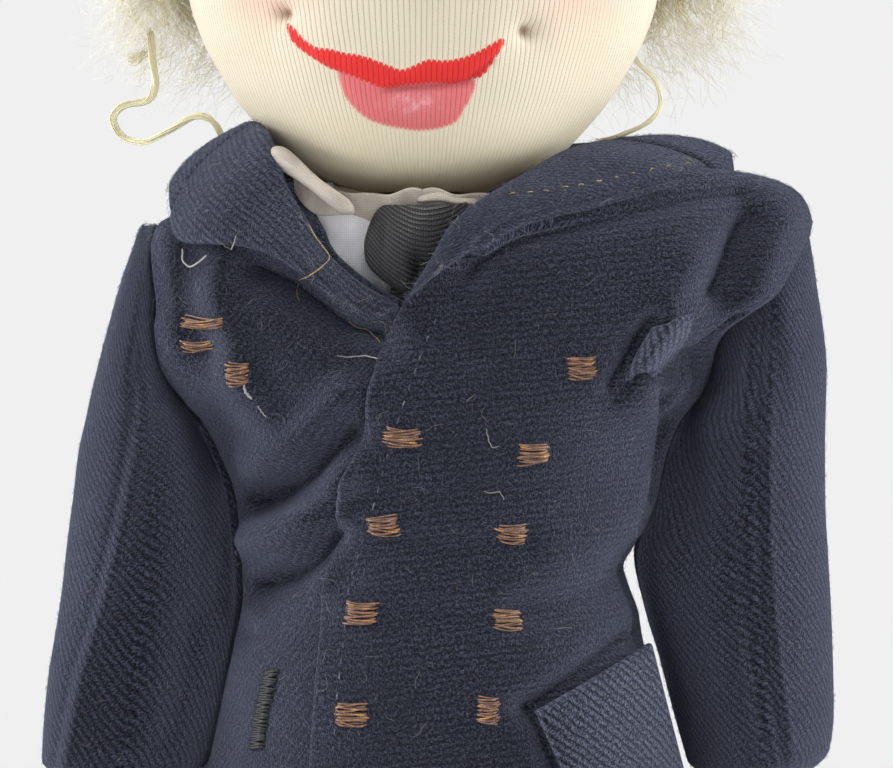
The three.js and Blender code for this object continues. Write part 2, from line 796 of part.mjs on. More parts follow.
const legOuter = legInner + thighWidth;
const legMiddle = (legInner + legOuter) / 2;
const footFloor = soleThickness + 2 * gap + 1.5;
const ankleDown = hipHeight - ankleHeight;
const thighRows = [
  legRow(-thighRadius + 0.2, legInner + 6, legOuter - 6, 1.1),
  legRow(-thighRadius + 1.4, legInner + 3, legOuter - 3, 4),
  legRow(-thighRadius + 4, legInner + 0.6, legOuter - 0.8, 8.3),
  legRow(0, legInner, legOuter, thighRadius - 0.1),
  legRow(12, legInner, legOuter, thighRadius - 0.1),
  legRow(ankleDown * 0.3, legInner + 0.3, legOuter - 0.2, thighRadius - 0.5),
  legRow(ankleDown * 0.56, legInner + 1.3, legOuter - 1.4, thighRadius - 2),
];
const shinRows = [
  legRow(ankleDown * 0.8, legInner + 2.4, legOuter - 2.6, thighRadius - 3.2),
  legRow(ankleDown, legInner + 4.2, legOuter - 4.4, thighRadius - 5.2),
  legRow(hipHeight - footFloor - 5, legInner + 4, legOuter - 4.4, thighRadius - 5),
  legRow(hipHeight - footFloor, legInner + 5.4, legOuter - 5.8, thighRadius - 6.4),
];

function footForm(grow) {
  const foot = new THREE.SphereGeometry(1, 12, 8);
  foot.scale(shoeHalfWidth - 3.6 + grow, 14 + grow, 5.4 + grow);
  return foot.translate(legMiddle, -9, footFloor + 5.2 - hipHeight);
}

function stuffedLeg() {
  const limb = ovalLoft([...thighRows, ...shinRows], limbSides);
  const hub = rodAlongX(hubRadius, crotchHalfWidth + gap, legInner + hubDepth, 0, 0);
  const cuts = discCuts(1).map((cut) => cut.translate(crotchHalfWidth + gap, 0, 0));
  return carved(joined(limb, hub, footForm(0)), ...cuts);
}

function trouserRows(grow) {
  const hem = ankleDown;
  const run = thighRows.map((row) => ({
    ...row,
    across: row.across + grow,
    deep: row.deep + grow,
    up: row.up + (row.up > 8 ? grow : 0),
  }));
  const last = legRow(hem, legInner - 0.2, legOuter, thighRadius);
  run.push({ ...last, across: last.across + grow, deep: last.deep + grow });
  return run;
}

function trouserLeg() {
  const outside = ovalLoft(trouserRows(gap + trouserCloth), limbSides);
  const hollow = trouserRows(gap);
  const end = hollow[hollow.length - 1];
  hollow.push({ ...end, up: end.up - 5 });
  const hole = rodAlongX(hubRadius + gap, crotchHalfWidth, legInner + hubDepth + gap, 0, 0);
  return carved(outside, ovalLoft(hollow, limbSides), hole);
}

function trouserSeat() {
  const skin = (grow, low) => {
    const rings = layerSteps(0, bodyStepAt(trouserTop)).map((step) => layerRing(step, () => grow));
    rings[0].forEach((point) => {
      point.z = low;
    });
    return rings;
  };
  const outside = skin(gap + trouserCloth, seatBottom);
  const inside = skin(gap, torsoBottom - gap);
  const top = inside[inside.length - 1].map((point) => point.clone().setZ(point.z + 5));
  const bowl = joined(loft(outside), crotchTab(crotchHalfWidth + gap + trouserCloth, gap + trouserCloth));
  const hubHole = rodAlongX(hubRadius + gap, -20, 20, 0, 0);
  return carved(bowl, loft([...inside, top]), crotchTab(crotchHalfWidth + gap, gap), hubHole);
}

// Shoes, in the leg's frame

function shoeOutline(grow, sides = limbSides) {
  const toe = -shoeLength * 0.66;
  const heel = shoeLength * 0.34;
  return Array.from({ length: sides }, (_, step) => {
    const turn = step / sides * 2 * Math.PI;
    const along = (1 - Math.cos(turn)) / 2;
    const width = (shoeHalfWidth + grow) * Math.sin(turn) * (1 - 0.16 * along);
    return new THREE.Vector2(width, toward(toe - grow, heel + grow, along));
  });
}

function shoeSole() {
  const shape = new THREE.Shape(shoeOutline(soleWelt));
  const sole = new THREE.ExtrudeGeometry(shape, { depth: soleThickness, bevelEnabled: false });
  return sole.translate(legMiddle, 0, -hipHeight);
}

function shoeUpper() {
  const levels = [[0, 1, 0], [4, 1, 0], [8.5, 0.93, 1.2], [12, 0.78, 4], [15.5, 0.62, 7]];
  const rings = levels.map(([rise, size, back]) => shoeOutline(0).map((point) => new THREE.Vector3(
    legMiddle + point.x * Math.sqrt(size),
    (point.y - shoeLength * 0.34) * size + shoeLength * 0.34 - (back ? 0.12 * back : 0),
    soleThickness + gap + rise - hipHeight,
  )));
  const collar = rings[rings.length - 1].map((point) => new THREE.Vector3(
    legMiddle + (point.x - legMiddle) * 0.93,
    Math.max(point.y, -9.5),
    ankleHeight - 1 - hipHeight,
  ));
  const ankleRoom = ovalLoft([
    legRow(ankleDown - 6, legInner + 4.2, legOuter - 4.4, thighRadius - 5.2),
    ...shinRows.slice(1),
  ], limbSides, gap);
  return carved(loft([...rings, collar]), ankleRoom, footForm(gap));
}

// Shirt and tie

const shirtNeckUp = torsoTop - 0.03;

function shirtBody() {
  const layer = bodyLayer(shirtBottom, shirtNeckUp, () => gap, () => shirtOuter);
  return carved(layer, neckCut(shirtNeckRadius), armholeCut(-1), armholeCut(1));
}

const collarFrontRise = 1.4;
const collarSideRise = 5;

// One half of the shirt collar, a cone of cloth that follows the head with a clear space.
function shirtCollar() {
  const surface = (along, up) => {
    const turn = toward(0.17, Math.PI - 0.02, along);
    const sideways = smooth(turn, 0.2, 0.8);
    const low = toward(-2.2, 0.7, sideways);
    const high = toward(collarFrontRise, collarSideRise, sideways);
    const rise = toward(low, high, up);
    const lean = Math.max(headRadiusAt(Math.max(rise, 0.2)) + 1.7, toward(18.2, 17.6, sideways));
    return new THREE.Vector3(
      neckOffset + lean * Math.sin(turn),
      -lean * Math.cos(turn),
      neckUp + rise,
    );
  };
  return sheet(surface, 10, 2, 2 * shirtCloth);
}

const knotTop = neckUp - 2.8;
const knotBottom = pointUp + 6.4;
const knotHalfWidth = 7;
const knotDepth = 4.2;
const knotX = -4;

function tieKnot() {
  const rows = [0, 0.16, 0.5, 0.84, 1].map((part) => {
    const up = toward(knotBottom, knotTop, part);
    const full = part === 0 || part === 1 ? 0.82 : 1;
    const half = toward(3.6, knotHalfWidth, part) * full;
    const step = bodyStepAt(Math.min(up, torsoTop - 1.6));
    const back = -layerPoint(0, step, () => shirtOuter).y + gap;
    return {
      up,
      across: half,
      deep: knotDepth / 2 * full,
      x: knotX,
      y: -back - 0.5 - knotDepth / 2,
      roundness: 2.8,
    };
  });
  return ovalLoft(rows, 12);
}

function tieBlade() {
  const top = knotBottom - gap;
  const bottom = top - 34;
  const corners = [
    [knotX - 5.5, bottom],
    [knotX + 5.5, bottom],
    [knotX + 3.4, top],
    [knotX - 3.4, top],
  ];
  return frontPatch(corners, 4, 3, () => shirtOuter + gap, () => shirtOuter + gap + tieCloth);
}

// Pieces sewn on the jacket

const flapCloth = 2;
const sunk = 0.6;

// A patch on the jacket: its back is cut to the jacket face that it lies on.
function sewnPatch(corners, rows, columns, face, height) {
  const back = (angle, up) => face.stand(angle, up) - sunk;
  const front = (angle, up) => face.stand(angle, up) + gap + height;
  return carved(frontPatch(corners, rows, columns, back, front), face.space);
}

function pocketFlap(face) {
  const low = hemUp + 8.5;
  const corners = [[18.5, low], [31, low + 7], [29.5, low + 24], [14, low + 15]];
  return sewnPatch(corners, 3, 4, face, flapCloth);
}

function breastWelt(face) {
  const low = shoulderUp - 14.6;
  const corners = [[26, low], [32.5, low + 1], [38, low + 9.6], [30.5, low + 8.6]];
  return sewnPatch(corners, 3, 3, face, flapCloth);
}

function pocketStitch(face) {
  const low = hemUp + 18;
  const corners = [[-28.2, low], [-25.8, low], [-24, low + 11], [-26.4, low + 11]];
  return sewnPatch(corners, 3, 1, face, threadHeight);
}

const buttonRows = [
  { up: shoulderUp - 13, right: [-30.4, 3.6, 3.3], left: [21.3, 4.5, 3.3] },
  { up: shoulderUp - 24.2, right: [-5.6, 5.9, 2.7], left: [14, 4.8, 3] },
  { up: shoulderUp - 36.6, right: [-8.4, 5, 2.7], left: [10.7, 4.5, 2.8] },
  { up: shoulderUp - 49.5, right: [-11.7, 5, 3.3], left: [10.1, 4.5, 3] },
  { up: shoulderUp - 63.7, right: [-13.2, 5, 3.3], left: [7.2, 3.3, 3.9] },
];

function threadBlock([x, width, height], up, face) {
  const half = width / 2;
  const corners = [
    [x - half, up - height / 2],
    [x + half, up - height / 2],
    [x + half, up + height / 2],
    [x - half, up + height / 2],
  ];
  return sewnPatch(corners, 1, 3, face, threadHeight);
}

// Assembly

const colours = {
  skin: [skinColour, 0.9, 0],
  hair: [hairColour, 0.7, 0],
  shirt: [shirtColour, 0.85, 0],
  wool: [wool, 0.95, 0],
  tie: [tieColour, 0.7, 0],
  thread: [threadColour, 0.45, 0.3],
  leather: [leatherColour, 0.35, 0],
  card: [cardColour, 0.9, 0],
  steel: [steelColour, 0.4, 1],
};

function piece(name, geometry, finish) {
  const [color, roughness, metalness] = colours[finish];
  const mesh = new THREE.Mesh(geometry, new THREE.MeshStandardMaterial({ color, roughness, metalness }));
  mesh.name = name;
  return mesh;
}

function jointHardware(name, limbName) {
  const hardware = new THREE.Group();
  hardware.add(
    piece(`${name}_pin`, splitPin(), 'steel'),
    piece(`${name}_${limbName}_disc`, cardDisc(1), 'card'),
    piece(`${name}_body_disc`, cardDisc(-1), 'card'),
  );
  return hardware;
}

function doll() {
  const whole = new THREE.Group();
  const body = new THREE.Group();
  body.position.z = hipHeight;
  whole.add(body);

  const plain = { stand: coatOut, space: coatSpace(coatOut) };
  const raised = { stand: leftOut, space: coatSpace(leftOut) };
  body.add(
    piece('torso', stuffedTorso(), 'skin'),
    piece('shirt_body', shirtBody(), 'shirt'),
    piece('left_shirt_collar', shirtCollar(), 'shirt'),
    piece('tie_knot', tieKnot(), 'tie'),
    piece('tie_blade', tieBlade(), 'tie'),
    piece('jacket_back', coatBack(), 'wool'),
    piece('jacket_left_front', coatLeftFront(), 'wool'),
    piece('jacket_right_front', coatRightFront(), 'wool'),
    piece('jacket_collar', jacketCollar([plain.space, raised.space]), 'wool'),
    piece('left_lapel', lapel(rollLeft, edgeLeft, raised.space), 'wool'),
    piece('right_lapel', lapel(rollRight, edgeRight, plain.space), 'wool'),
    piece('left_pocket_flap', pocketFlap(raised), 'wool'),
    piece('breast_pocket_welt', breastWelt(raised), 'wool'),
    piece('right_pocket_stitching', pocketStitch(plain), 'tie'),
    piece('trousers_seat', trouserSeat(), 'wool'),
  );
  const rightCollar = mirrored(shirtCollar().translate(-neckOffset, 0, 0));
  body.add(piece('right_shirt_collar', rightCollar.translate(neckOffset, 0, 0), 'shirt'));

  buttonRows.forEach((row, index) => {
    const rightFace = index === 0 ? plain : raised;
    const number = index + 1;
    body.add(piece(`right_button_${number}`, threadBlock(row.right, row.up, rightFace), 'thread'));
    body.add(piece(`left_button_${number}`, threadBlock(row.left, row.up, raised), 'thread'));
  });
  [[-34.5, 8.4], [-35.2, 5.4]].forEach(([x, width], index) => {
    const bar = threadBlock([x, width, 1.6], shoulderUp - 4.5 - 3.4 * index, plain);
    body.add(piece(`breast_bar_${index + 1}`, bar, 'thread'));
  });

  for (const [side, name] of [[1, 'left'], [-1, 'right']]) {
    const sided = (geometry) => (side > 0 ? geometry : mirrored(geometry));
    const arm = new THREE.Group();
    arm.position.z = shoulderUp;
    arm.add(
      piece(`${name}_arm`, sided(stuffedArm()), 'skin'),
      piece(`${name}_sleeve`, sided(woolSleeve()), 'wool'),
    );
    body.add(arm);
    const shoulder = jointHardware(`${name}_shoulder`, 'arm');
    shoulder.position.set(side * (armPlane + gap / 2), 0, shoulderUp);
    shoulder.rotation.z = side > 0 ? 0 : Math.PI;
    body.add(shoulder);

    const leg = new THREE.Group();
    leg.add(
      piece(`${name}_leg`, sided(stuffedLeg()), 'skin'),
      piece(`${name}_trouser_leg`, sided(trouserLeg()), 'wool'),
      piece(`${name}_shoe`, sided(shoeUpper()), 'leather'),
      piece(`${name}_sole`, sided(shoeSole()), 'leather'),
    );
    body.add(leg);
    const hip = jointHardware(`${name}_hip`, 'leg');
    hip.position.set(side * (crotchHalfWidth + gap / 2), 0, 0);
    hip.rotation.z = side > 0 ? 0 : Math.PI;
    body.add(hip);
  }

  const head = new THREE.Group();
  head.position.set(neckOffset, 0, neckUp);
  head.add(
    piece('head', stuffedHead(), 'skin'),
    piece('wig', hairWig(), 'hair'),
  );
  body.add(head);
  const neck = jointHardware('neck', 'head');
  neck.position.copy(head.position);
  neck.rotation.y = -Math.PI / 2;
  body.add(neck);
  return whole;
}

const group = doll();
export default group;
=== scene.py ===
"""The looks of a cloth doll in a navy wool jacket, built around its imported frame.

Lengths are in millimetres until a mesh is made. The doll faces -Y, and its left side is +X.
Places that come from the photograph are pixels, and their names or comments say so.
"""

import math

import bpy
import numpy as np
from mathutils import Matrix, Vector
from mathutils.bvhtree import BVHTree


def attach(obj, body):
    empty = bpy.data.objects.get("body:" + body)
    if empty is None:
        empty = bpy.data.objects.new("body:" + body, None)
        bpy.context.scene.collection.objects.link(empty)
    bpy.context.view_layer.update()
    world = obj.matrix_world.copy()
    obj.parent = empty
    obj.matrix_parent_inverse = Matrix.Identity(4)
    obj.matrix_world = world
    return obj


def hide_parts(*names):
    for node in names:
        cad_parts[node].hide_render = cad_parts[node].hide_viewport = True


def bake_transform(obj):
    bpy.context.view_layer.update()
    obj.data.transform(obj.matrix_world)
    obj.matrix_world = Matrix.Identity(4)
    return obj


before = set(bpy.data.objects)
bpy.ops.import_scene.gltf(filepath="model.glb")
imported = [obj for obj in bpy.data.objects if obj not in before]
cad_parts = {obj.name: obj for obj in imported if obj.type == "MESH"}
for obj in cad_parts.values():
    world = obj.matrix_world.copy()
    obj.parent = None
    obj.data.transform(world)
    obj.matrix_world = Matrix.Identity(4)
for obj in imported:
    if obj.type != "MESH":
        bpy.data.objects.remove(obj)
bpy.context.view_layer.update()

chance = np.random.default_rng(7)

# The camera
MM = 0.001
PHOTO_WIDTH = 893
PHOTO_HEIGHT = 768
VIEW_X = 1.0
VIEW_UP = 222.4
VIEW_DISTANCE = 560.0
PIXELS_PER_MM = 6.45

# Heights and places that match the frame: its joints, and the sleeves' lower edge
SHOULDER_UP = 237.5
HIP_UP = 132.0
NECK_UP = 251.75
NECK_X = -2.6
SLEEVE_HEM = 162.5

# Thicknesses
WOOL = 1.5
OVERLAP = 1.9
SHIRT_CLOTH = 0.6
LEAF = 3.2

# Distances from the middle of the body that bound the stretch of the jacket's cloth between the torso and
# an arm
BEND_START = 41.0
BEND_END = 56.0

# The sign of x on each side of the doll
SIGNS = {"left": 1, "right": -1}

# How square each rounded oval is, where an ellipse has 2
BODY_ROUNDNESS = 2.35
LIMB_ROUNDNESS = 2.3
HEAD_ROUNDNESS = 2.12
HAIR_ROUNDNESS = 2.1

# Pitches of the cloths
TWILL_RIB = 1.08
TWILL_TICK = 0.52
WALE = 0.86
COURSE = 0.62
SHIRT_WARP = 0.32
SHIRT_WEFT = 0.36
TIE_RIB = 0.76
TIE_BEAD = 0.4
THREAD_TWIST = 0.5


# Curves and grids


def hermite(low, high, slope_low, slope_high, t):
    return (
        low * (1 + 2 * t) * (1 - t) ** 2
        + slope_low * t * (1 - t) ** 2
        + high * t * t * (3 - 2 * t)
        + slope_high * t * t * (t - 1)
    )


def smooth_line(keys, values):
    """A curve through given values that never overshoots them."""
    keys = np.asarray(keys, float)
    values = np.asarray(values, float)
    widths = np.diff(keys)
    slopes = np.diff(values) / widths
    tangents = np.zeros_like(values)
    same = slopes[:-1] * slopes[1:] > 0
    both = np.where(same, slopes[:-1] + slopes[1:], 1)
    tangents[1:-1] = np.where(same, 2 * slopes[:-1] * slopes[1:] / both, 0)
    tangents[0] = slopes[0]
    tangents[-1] = slopes[-1]

    def value(key):
        key = np.clip(key, keys[0], keys[-1])
        place = np.clip(np.searchsorted(keys, key, side="right") - 1, 0, len(widths) - 1)
        width = widths[place]
        t = (key - keys[place]) / width
        lean_low, lean_high = tangents[place] * width, tangents[place + 1] * width
        return hermite(values[place], values[place + 1], lean_low, lean_high, t)

    return value


def resampled(keys, columns, wanted):
    """Each column of given values, read off a smooth line at the wanted keys."""
    return [smooth_line(keys, column)(wanted) for column in columns]


def travelled(steps):
    """The running total of some step lengths, from zero."""
    return np.concatenate([[0], np.cumsum(steps)])


def step_lengths(points):
    return np.linalg.norm(np.diff(points, axis=0), axis=1)


def between(wanted, keys, points):
    """Points read off a path at the wanted keys, straight between its own."""
    return np.stack([np.interp(wanted, keys, column) for column in points.T], axis=1)


def path_through(points, count):
    """Evenly spaced points on a smooth path through given ones."""
    points = np.asarray(points, float)
    reach = travelled(np.sqrt(step_lengths(points)))
    tangents = np.gradient(points, reach, axis=0)
    dense = np.linspace(0, reach[-1], 40 * len(points))
    place = np.clip(np.searchsorted(reach, dense, side="right") - 1, 0, len(points) - 2)
    span = np.diff(reach)[place][:, None]
    t = (dense - reach[place])[:, None] / span
    curve = hermite(points[place], points[place + 1], tangents[place] * span, tangents[place + 1] * span, t)
    run = travelled(step_lengths(curve))
    return between(np.linspace(0, run[-1], count), run, curve)


def ease(value, low, high):
    t = np.clip((value - low) / (high - low), 0, 1)
    return t * t * (3 - 2 * t)


def bell(across, down=0.0):
    """One in the middle and falling off smoothly, with a width of one."""
    return np.exp(-(across**2) - down**2)


def all_round(count):
    """Turns that go once round, evenly spaced."""
    return np.arange(count) / count * 2 * np.pi


def stations(length, step, rim):
    """Shares of a length, closer together near both ends, where an edge is rounded."""
    ends = np.array([0, 0.12, 0.35, 0.65, 1.0]) * rim
    count = max(int((length - 2 * rim) / step), 2)
    middle = np.linspace(rim, length - rim, count + 1)[1:-1]
    return np.concatenate([ends, middle, length - ends[::-1]]) / length


def unit(vectors):
    return vectors / np.maximum(np.linalg.norm(vectors, axis=-1, keepdims=True), 1e-9)


def seen(px, py, y):
    """The point at depth y that the camera sees at a pixel of the photograph."""
    scale = PIXELS_PER_MM * VIEW_DISTANCE / (VIEW_DISTANCE + y)
    return VIEW_X + (px - PHOTO_WIDTH / 2) / scale, y, VIEW_UP - (py - PHOTO_HEIGHT / 2) / scale


def seen_path(places):
    """Photographed places, each a pixel and a depth, as points."""
    return np.array([seen(*place) for place in places])


def pixel_of(points):
    scale = PIXELS_PER_MM * VIEW_DISTANCE / (VIEW_DISTANCE + points[..., 1])
    across = PHOTO_WIDTH / 2 + (points[..., 0] - VIEW_X) * scale
    down = PHOTO_HEIGHT / 2 - (points[..., 2] - VIEW_UP) * scale
    return np.stack([across, down], axis=-1)


def to_line(places, line):
    """Distance from places to a line of points, with its sign on the right of the line's run."""
    line = np.asarray(line, float)
    best = np.full(places.shape[:-1], 1e9)
    side = np.ones(places.shape[:-1])
    for start, end in zip(line[:-1], line[1:]):
        run = end - start
        if not run.any():
            continue
        offset = places - start
        t = np.clip((offset @ run) / (run @ run), 0, 1)
        away = np.linalg.norm(offset - t[..., None] * run, axis=-1)
        turn = np.sign(run[0] * offset[..., 1] - run[1] * offset[..., 0])
        nearer = away < best
        best = np.where(nearer, away, best)
        side = np.where(nearer, turn, side)
    return best, side


def inside_outline(places, outline):
    """Signed distance to a closed outline, below zero inside it."""
    outline = np.asarray(outline, float)
    away, _ = to_line(places, np.vstack([outline, outline[:1]]))
    inside = np.zeros(places.shape[:-1], bool)
    for start, end in zip(outline, np.roll(outline, -1, axis=0)):
        crosses = (start[1] > places[..., 1]) != (end[1] > places[..., 1])
        rise = end[1] - start[1] if end[1] != start[1] else 1e-9
        at = start[0] + (places[..., 1] - start[1]) / rise * (end[0] - start[0])
        inside ^= crosses & (places[..., 0] < at)
    return np.where(inside, -away, away)


# Meshes

# A thread's end point and the one next to it, as shares of its radius
THREAD_TIP = 0.35
THREAD_SHOULDER = 0.825


def piece(name, points, faces, weave=None, fields=None, seams=()):
    """A smooth mesh object, with its cloth places as a UV map and any painted fields."""
    mesh = bpy.data.meshes.new(name)
    mesh.from_pydata((np.asarray(points, float) * MM).tolist(), [], faces)
    mesh.shade_smooth()
    if weave is not None:
        corners = np.empty(len(mesh.loops), np.int64)
        mesh.loops.foreach_get("vertex_index", corners)
        places = weave[corners]
        for corner, place in seams:
            places[corner] = place
        layer = mesh.uv_layers.new(name="weave")
        layer.data.foreach_set("uv", places.astype(np.float32).ravel())
    for field, values in (fields or {}).items():
        attribute = mesh.attributes.new(field, "FLOAT", "POINT")
        attribute.data.foreach_set("value", values.astype(np.float32).ravel())
    made = bpy.data.objects.new(name, mesh)
    bpy.context.scene.collection.objects.link(made)
    return made


def grid_faces(index, wrap):
    right = np.roll(index, -1, axis=1) if wrap else index[:, 1:]
    left = index if wrap else index[:, :-1]
    return np.stack([left[:-1], left[1:], right[1:], right[:-1]], axis=-1).reshape(-1, 4)


def seam_corners(places, first, flipped):
    """Where a wrapped grid closes: its last column's far corners, and the cloth places that they get."""
    rows, columns = places.shape[:2]
    faces = first + np.arange(rows - 1) * columns + columns - 1
    upper, lower = (0, 1) if flipped else (3, 2)
    closing = 2 * places[:, -1] - places[:, -2]
    return [(4 * faces + upper, closing[:-1]), (4 * faces + lower, closing[1:])]


def slopes_of(grid, wrap):
    if wrap:
        across = np.roll(grid, -1, axis=1) - np.roll(grid, 1, axis=1)
    else:
        across = np.gradient(grid, axis=1)
    down = np.gradient(grid, axis=0)
    return unit(np.cross(down, across))


def runs(grid, axis):
    steps = np.linalg.norm(np.diff(grid, axis=axis), axis=-1)
    start = np.zeros_like(np.take(steps, [0], axis=axis))
    return np.concatenate([start, np.cumsum(steps, axis=axis)], axis=axis)


def cloth_places(grid):
    """Where each point lies in the flat cloth, across and down."""
    across = runs(grid, 1)
    return np.stack([across - across[:, across.shape[1] // 2, None], runs(grid, 0)], axis=-1)


def cloth(name, grid, thickness, wrap=False, weave=None):
    """A closed sheet of cloth under a grid of points on its outer face, with rounded edges."""
    rows, columns = grid.shape[:2]
    outward = slopes_of(grid, wrap)
    down = runs(grid, 0)
    edge = np.minimum(down, down[-1] - down)
    if not wrap:
        across = runs(grid, 1)
        edge = np.minimum(edge, np.minimum(across, across[:, -1:] - across))
    half = thickness / 2
    drop = half * (1 - np.sqrt(1 - (1 - np.clip(edge / half, 0, 1)) ** 2))
    top = grid - outward * drop[..., None]
    bottom = grid - outward * (thickness - drop)[..., None]
    border = np.zeros((rows, columns), bool)
    border[[0, -1]] = True
    if not wrap:
        border[:, [0, -1]] = True
    above = np.arange(rows * columns).reshape(rows, columns)
    below = np.where(border, above, 0)
    below[~border] = rows * columns + np.arange((~border).sum())
    points = np.concatenate([top.reshape(-1, 3), bottom[~border]])
    faces = grid_faces(above, wrap).tolist() + grid_faces(below, wrap)[:, ::-1].tolist()
    places = cloth_places(grid) if weave is None else weave
    seams = ()
    if wrap:
        seams = seam_corners(places, 0, False) + seam_corners(places, (rows - 1) * columns, True)
    places = np.concatenate([places.reshape(-1, 2), places[~border]])
    return piece(name, points, faces, places, seams=seams)


def stuffed(name, grid, weave=None, fields=None):
    """A closed skin round rings of points, with a fan at each end."""
    rows, columns = grid.shape[:2]
    index = np.arange(rows * columns).reshape(rows, columns)
    points = np.concatenate([grid.reshape(-1, 3), grid[:1].mean(axis=1), grid[-1:].mean(axis=1)])
    faces = grid_faces(index, True).tolist()
    first, last = rows * columns, rows * columns + 1
    for here, there in zip(index[0], np.roll(index[0], -1)):
        faces.append([int(first), int(here), int(there)])
    for here, there in zip(index[-1], np.roll(index[-1], -1)):
        faces.append([int(last), int(there), int(here)])
    places = cloth_places(grid) if weave is None else weave
    seams = seam_corners(places, 0, False)
    places = np.concatenate([places.reshape(-1, 2), places[0, :1], places[-1, :1]])
    if fields:
        fields = {
            key: np.concatenate([value.reshape(-1), value[0, :1], value[-1, :1]])
            for key, value in fields.items()
        }
    return piece(name, points, faces, places, fields, seams)


def strands(name, paths, radius, sides):
    """Thin closed threads along paths that all have the same number of points, with tapered ends."""
    paths = np.asarray(paths, float)
    count, steps = paths.shape[:2]
    along = unit(np.gradient(paths, axis=1))
    side = np.zeros_like(paths)
    first = np.cross(along[:, 0], [0.31, 0.52, 0.79])
    side[:, 0] = unit(first)
    for step in range(1, steps):
        carried = side[:, step - 1]
        lean = (carried * along[:, step]).sum(-1, keepdims=True)
        side[:, step] = unit(carried - lean * along[:, step])
    other = np.cross(along, side)
    ends = np.minimum(np.arange(steps), np.arange(steps)[::-1])
    width = np.where(ends == 0, THREAD_TIP, np.where(ends == 1, THREAD_SHOULDER, 1))
    radii = np.asarray(radius, float)
    radii = np.broadcast_to(radii if radii.ndim == 2 else radii.reshape(-1, 1), (count, steps)) * width
    radii = radii[:, :, None, None]
    turn = all_round(sides)[:, None]
    ring = paths[:, :, None] + radii * np.cos(turn) * side[:, :, None]
    ring = ring + radii * np.sin(turn) * other[:, :, None]
    index = np.arange(count * steps * sides).reshape(count, steps, sides)
    here = index[:, :-1]
    above = index[:, 1:]
    walls = np.stack([here, np.roll(here, -1, 2), np.roll(above, -1, 2), above], axis=-1).reshape(-1, 4)
    faces = walls.tolist() + index[:, 0, ::-1].tolist() + index[:, -1].tolist()
    run = runs(paths, 1)
    own = np.broadcast_to(np.arange(count)[:, None], (count, steps))
    places = np.repeat(np.stack([own, run], axis=-1)[:, :, None], sides, axis=2)
    return piece(name, ring.reshape(-1, 3), faces, places.reshape(-1, 2))


def oval(turn, across, deep, roundness):
    """A rounded oval round the origin; a turn of zero faces -Y and a quarter turn faces +X."""
    power = 2 / roundness
    sideways = np.sin(turn)
    forwards = np.cos(turn)
    return (
        across * np.sign(sideways) * np.abs(sideways) ** power,
        -deep * np.sign(forwards) * np.abs(forwards) ** power,
    )


# Materials


def shade(code):
    """A screen colour, as 0xRRGGBB, in the renderer's own values."""
    colour = []
    for shift in (16, 8, 0):
        part = (code >> shift & 255) / 255
        colour.append(part / 12.92 if part <= 0.04045 else ((part + 0.055) / 1.055) ** 2.4)
    return (*colour, 1.0)


class Finish:
    """One material, made of nodes that are plugged together."""

    def __init__(self, name, **shader):
        self.material = bpy.data.materials.new(name)
        self.material.use_nodes = True
        self.tree = self.material.node_tree
        self.shader = self.tree.nodes["Principled BSDF"]
        self.set(**shader)

    def plug(self, socket, value):
        if isinstance(value, bpy.types.NodeSocket):
            self.tree.links.new(value, socket)
        else:
            socket.default_value = value

    def set(self, **values):
        for name, value in values.items():
            self.plug(self.shader.inputs[name.replace("_", " ")], value)

    def node(self, kind, inputs=(), **settings):
        made = self.tree.nodes.new("ShaderNode" + kind)
        for name, value in settings.items():
            setattr(made, name, value)
        for place, value in dict(inputs).items():
            self.plug(made.inputs[place], value)
        return made

    def calc(self, operation, *values):
        return self.node("Math", enumerate(values), operation=operation).outputs[0]

    def times(self, value, factor):
        return self.calc("MULTIPLY", value, factor)

    def scaled(self, value, factor, start):
        return self.calc("MULTIPLY_ADD", value, factor, start)

    def mix(self, factor, low, high):
        return self.node("MixRGB", {0: factor, 1: low, 2: high}).outputs[0]

    def field(self, name):
        return self.node("Attribute", attribute_name=name).outputs["Fac"]

    def steps(self, value, low, high):
        inputs = {"Value": value, "From Min": low, "From Max": high}
        return self.node("MapRange", inputs, interpolation_type="SMOOTHSTEP").outputs[0]

    def place(self):
        """Where the shaded point lies in the flat cloth, in millimetres across and down."""
        source = self.node("UVMap", uv_map="weave").outputs[0]
        parts = self.node("SeparateXYZ", {0: source})
        return source, parts.outputs[0], parts.outputs[1]

    def noise(self, vector, scale, detail, roughness=0.5):
        inputs = {"Vector": vector, "Scale": scale, "Detail": detail, "Roughness": roughness}
        return self.node("TexNoise", inputs).outputs[0]

    def stretched(self, vector, across, down):
        return self.node("Mapping", {"Vector": vector, "Scale": (across, down, 1)}).outputs[0]

    def bump(self, height, distance, strength):
        inputs = {"Height": height, "Distance": distance * MM, "Strength": strength}
        self.set(Normal=self.node("Bump", inputs).outputs[0])

    def wave(self, value):
        """A rounded rib for every whole step of the value."""
        return self.calc("ABSOLUTE", self.calc("SINE", self.times(value, math.pi)))


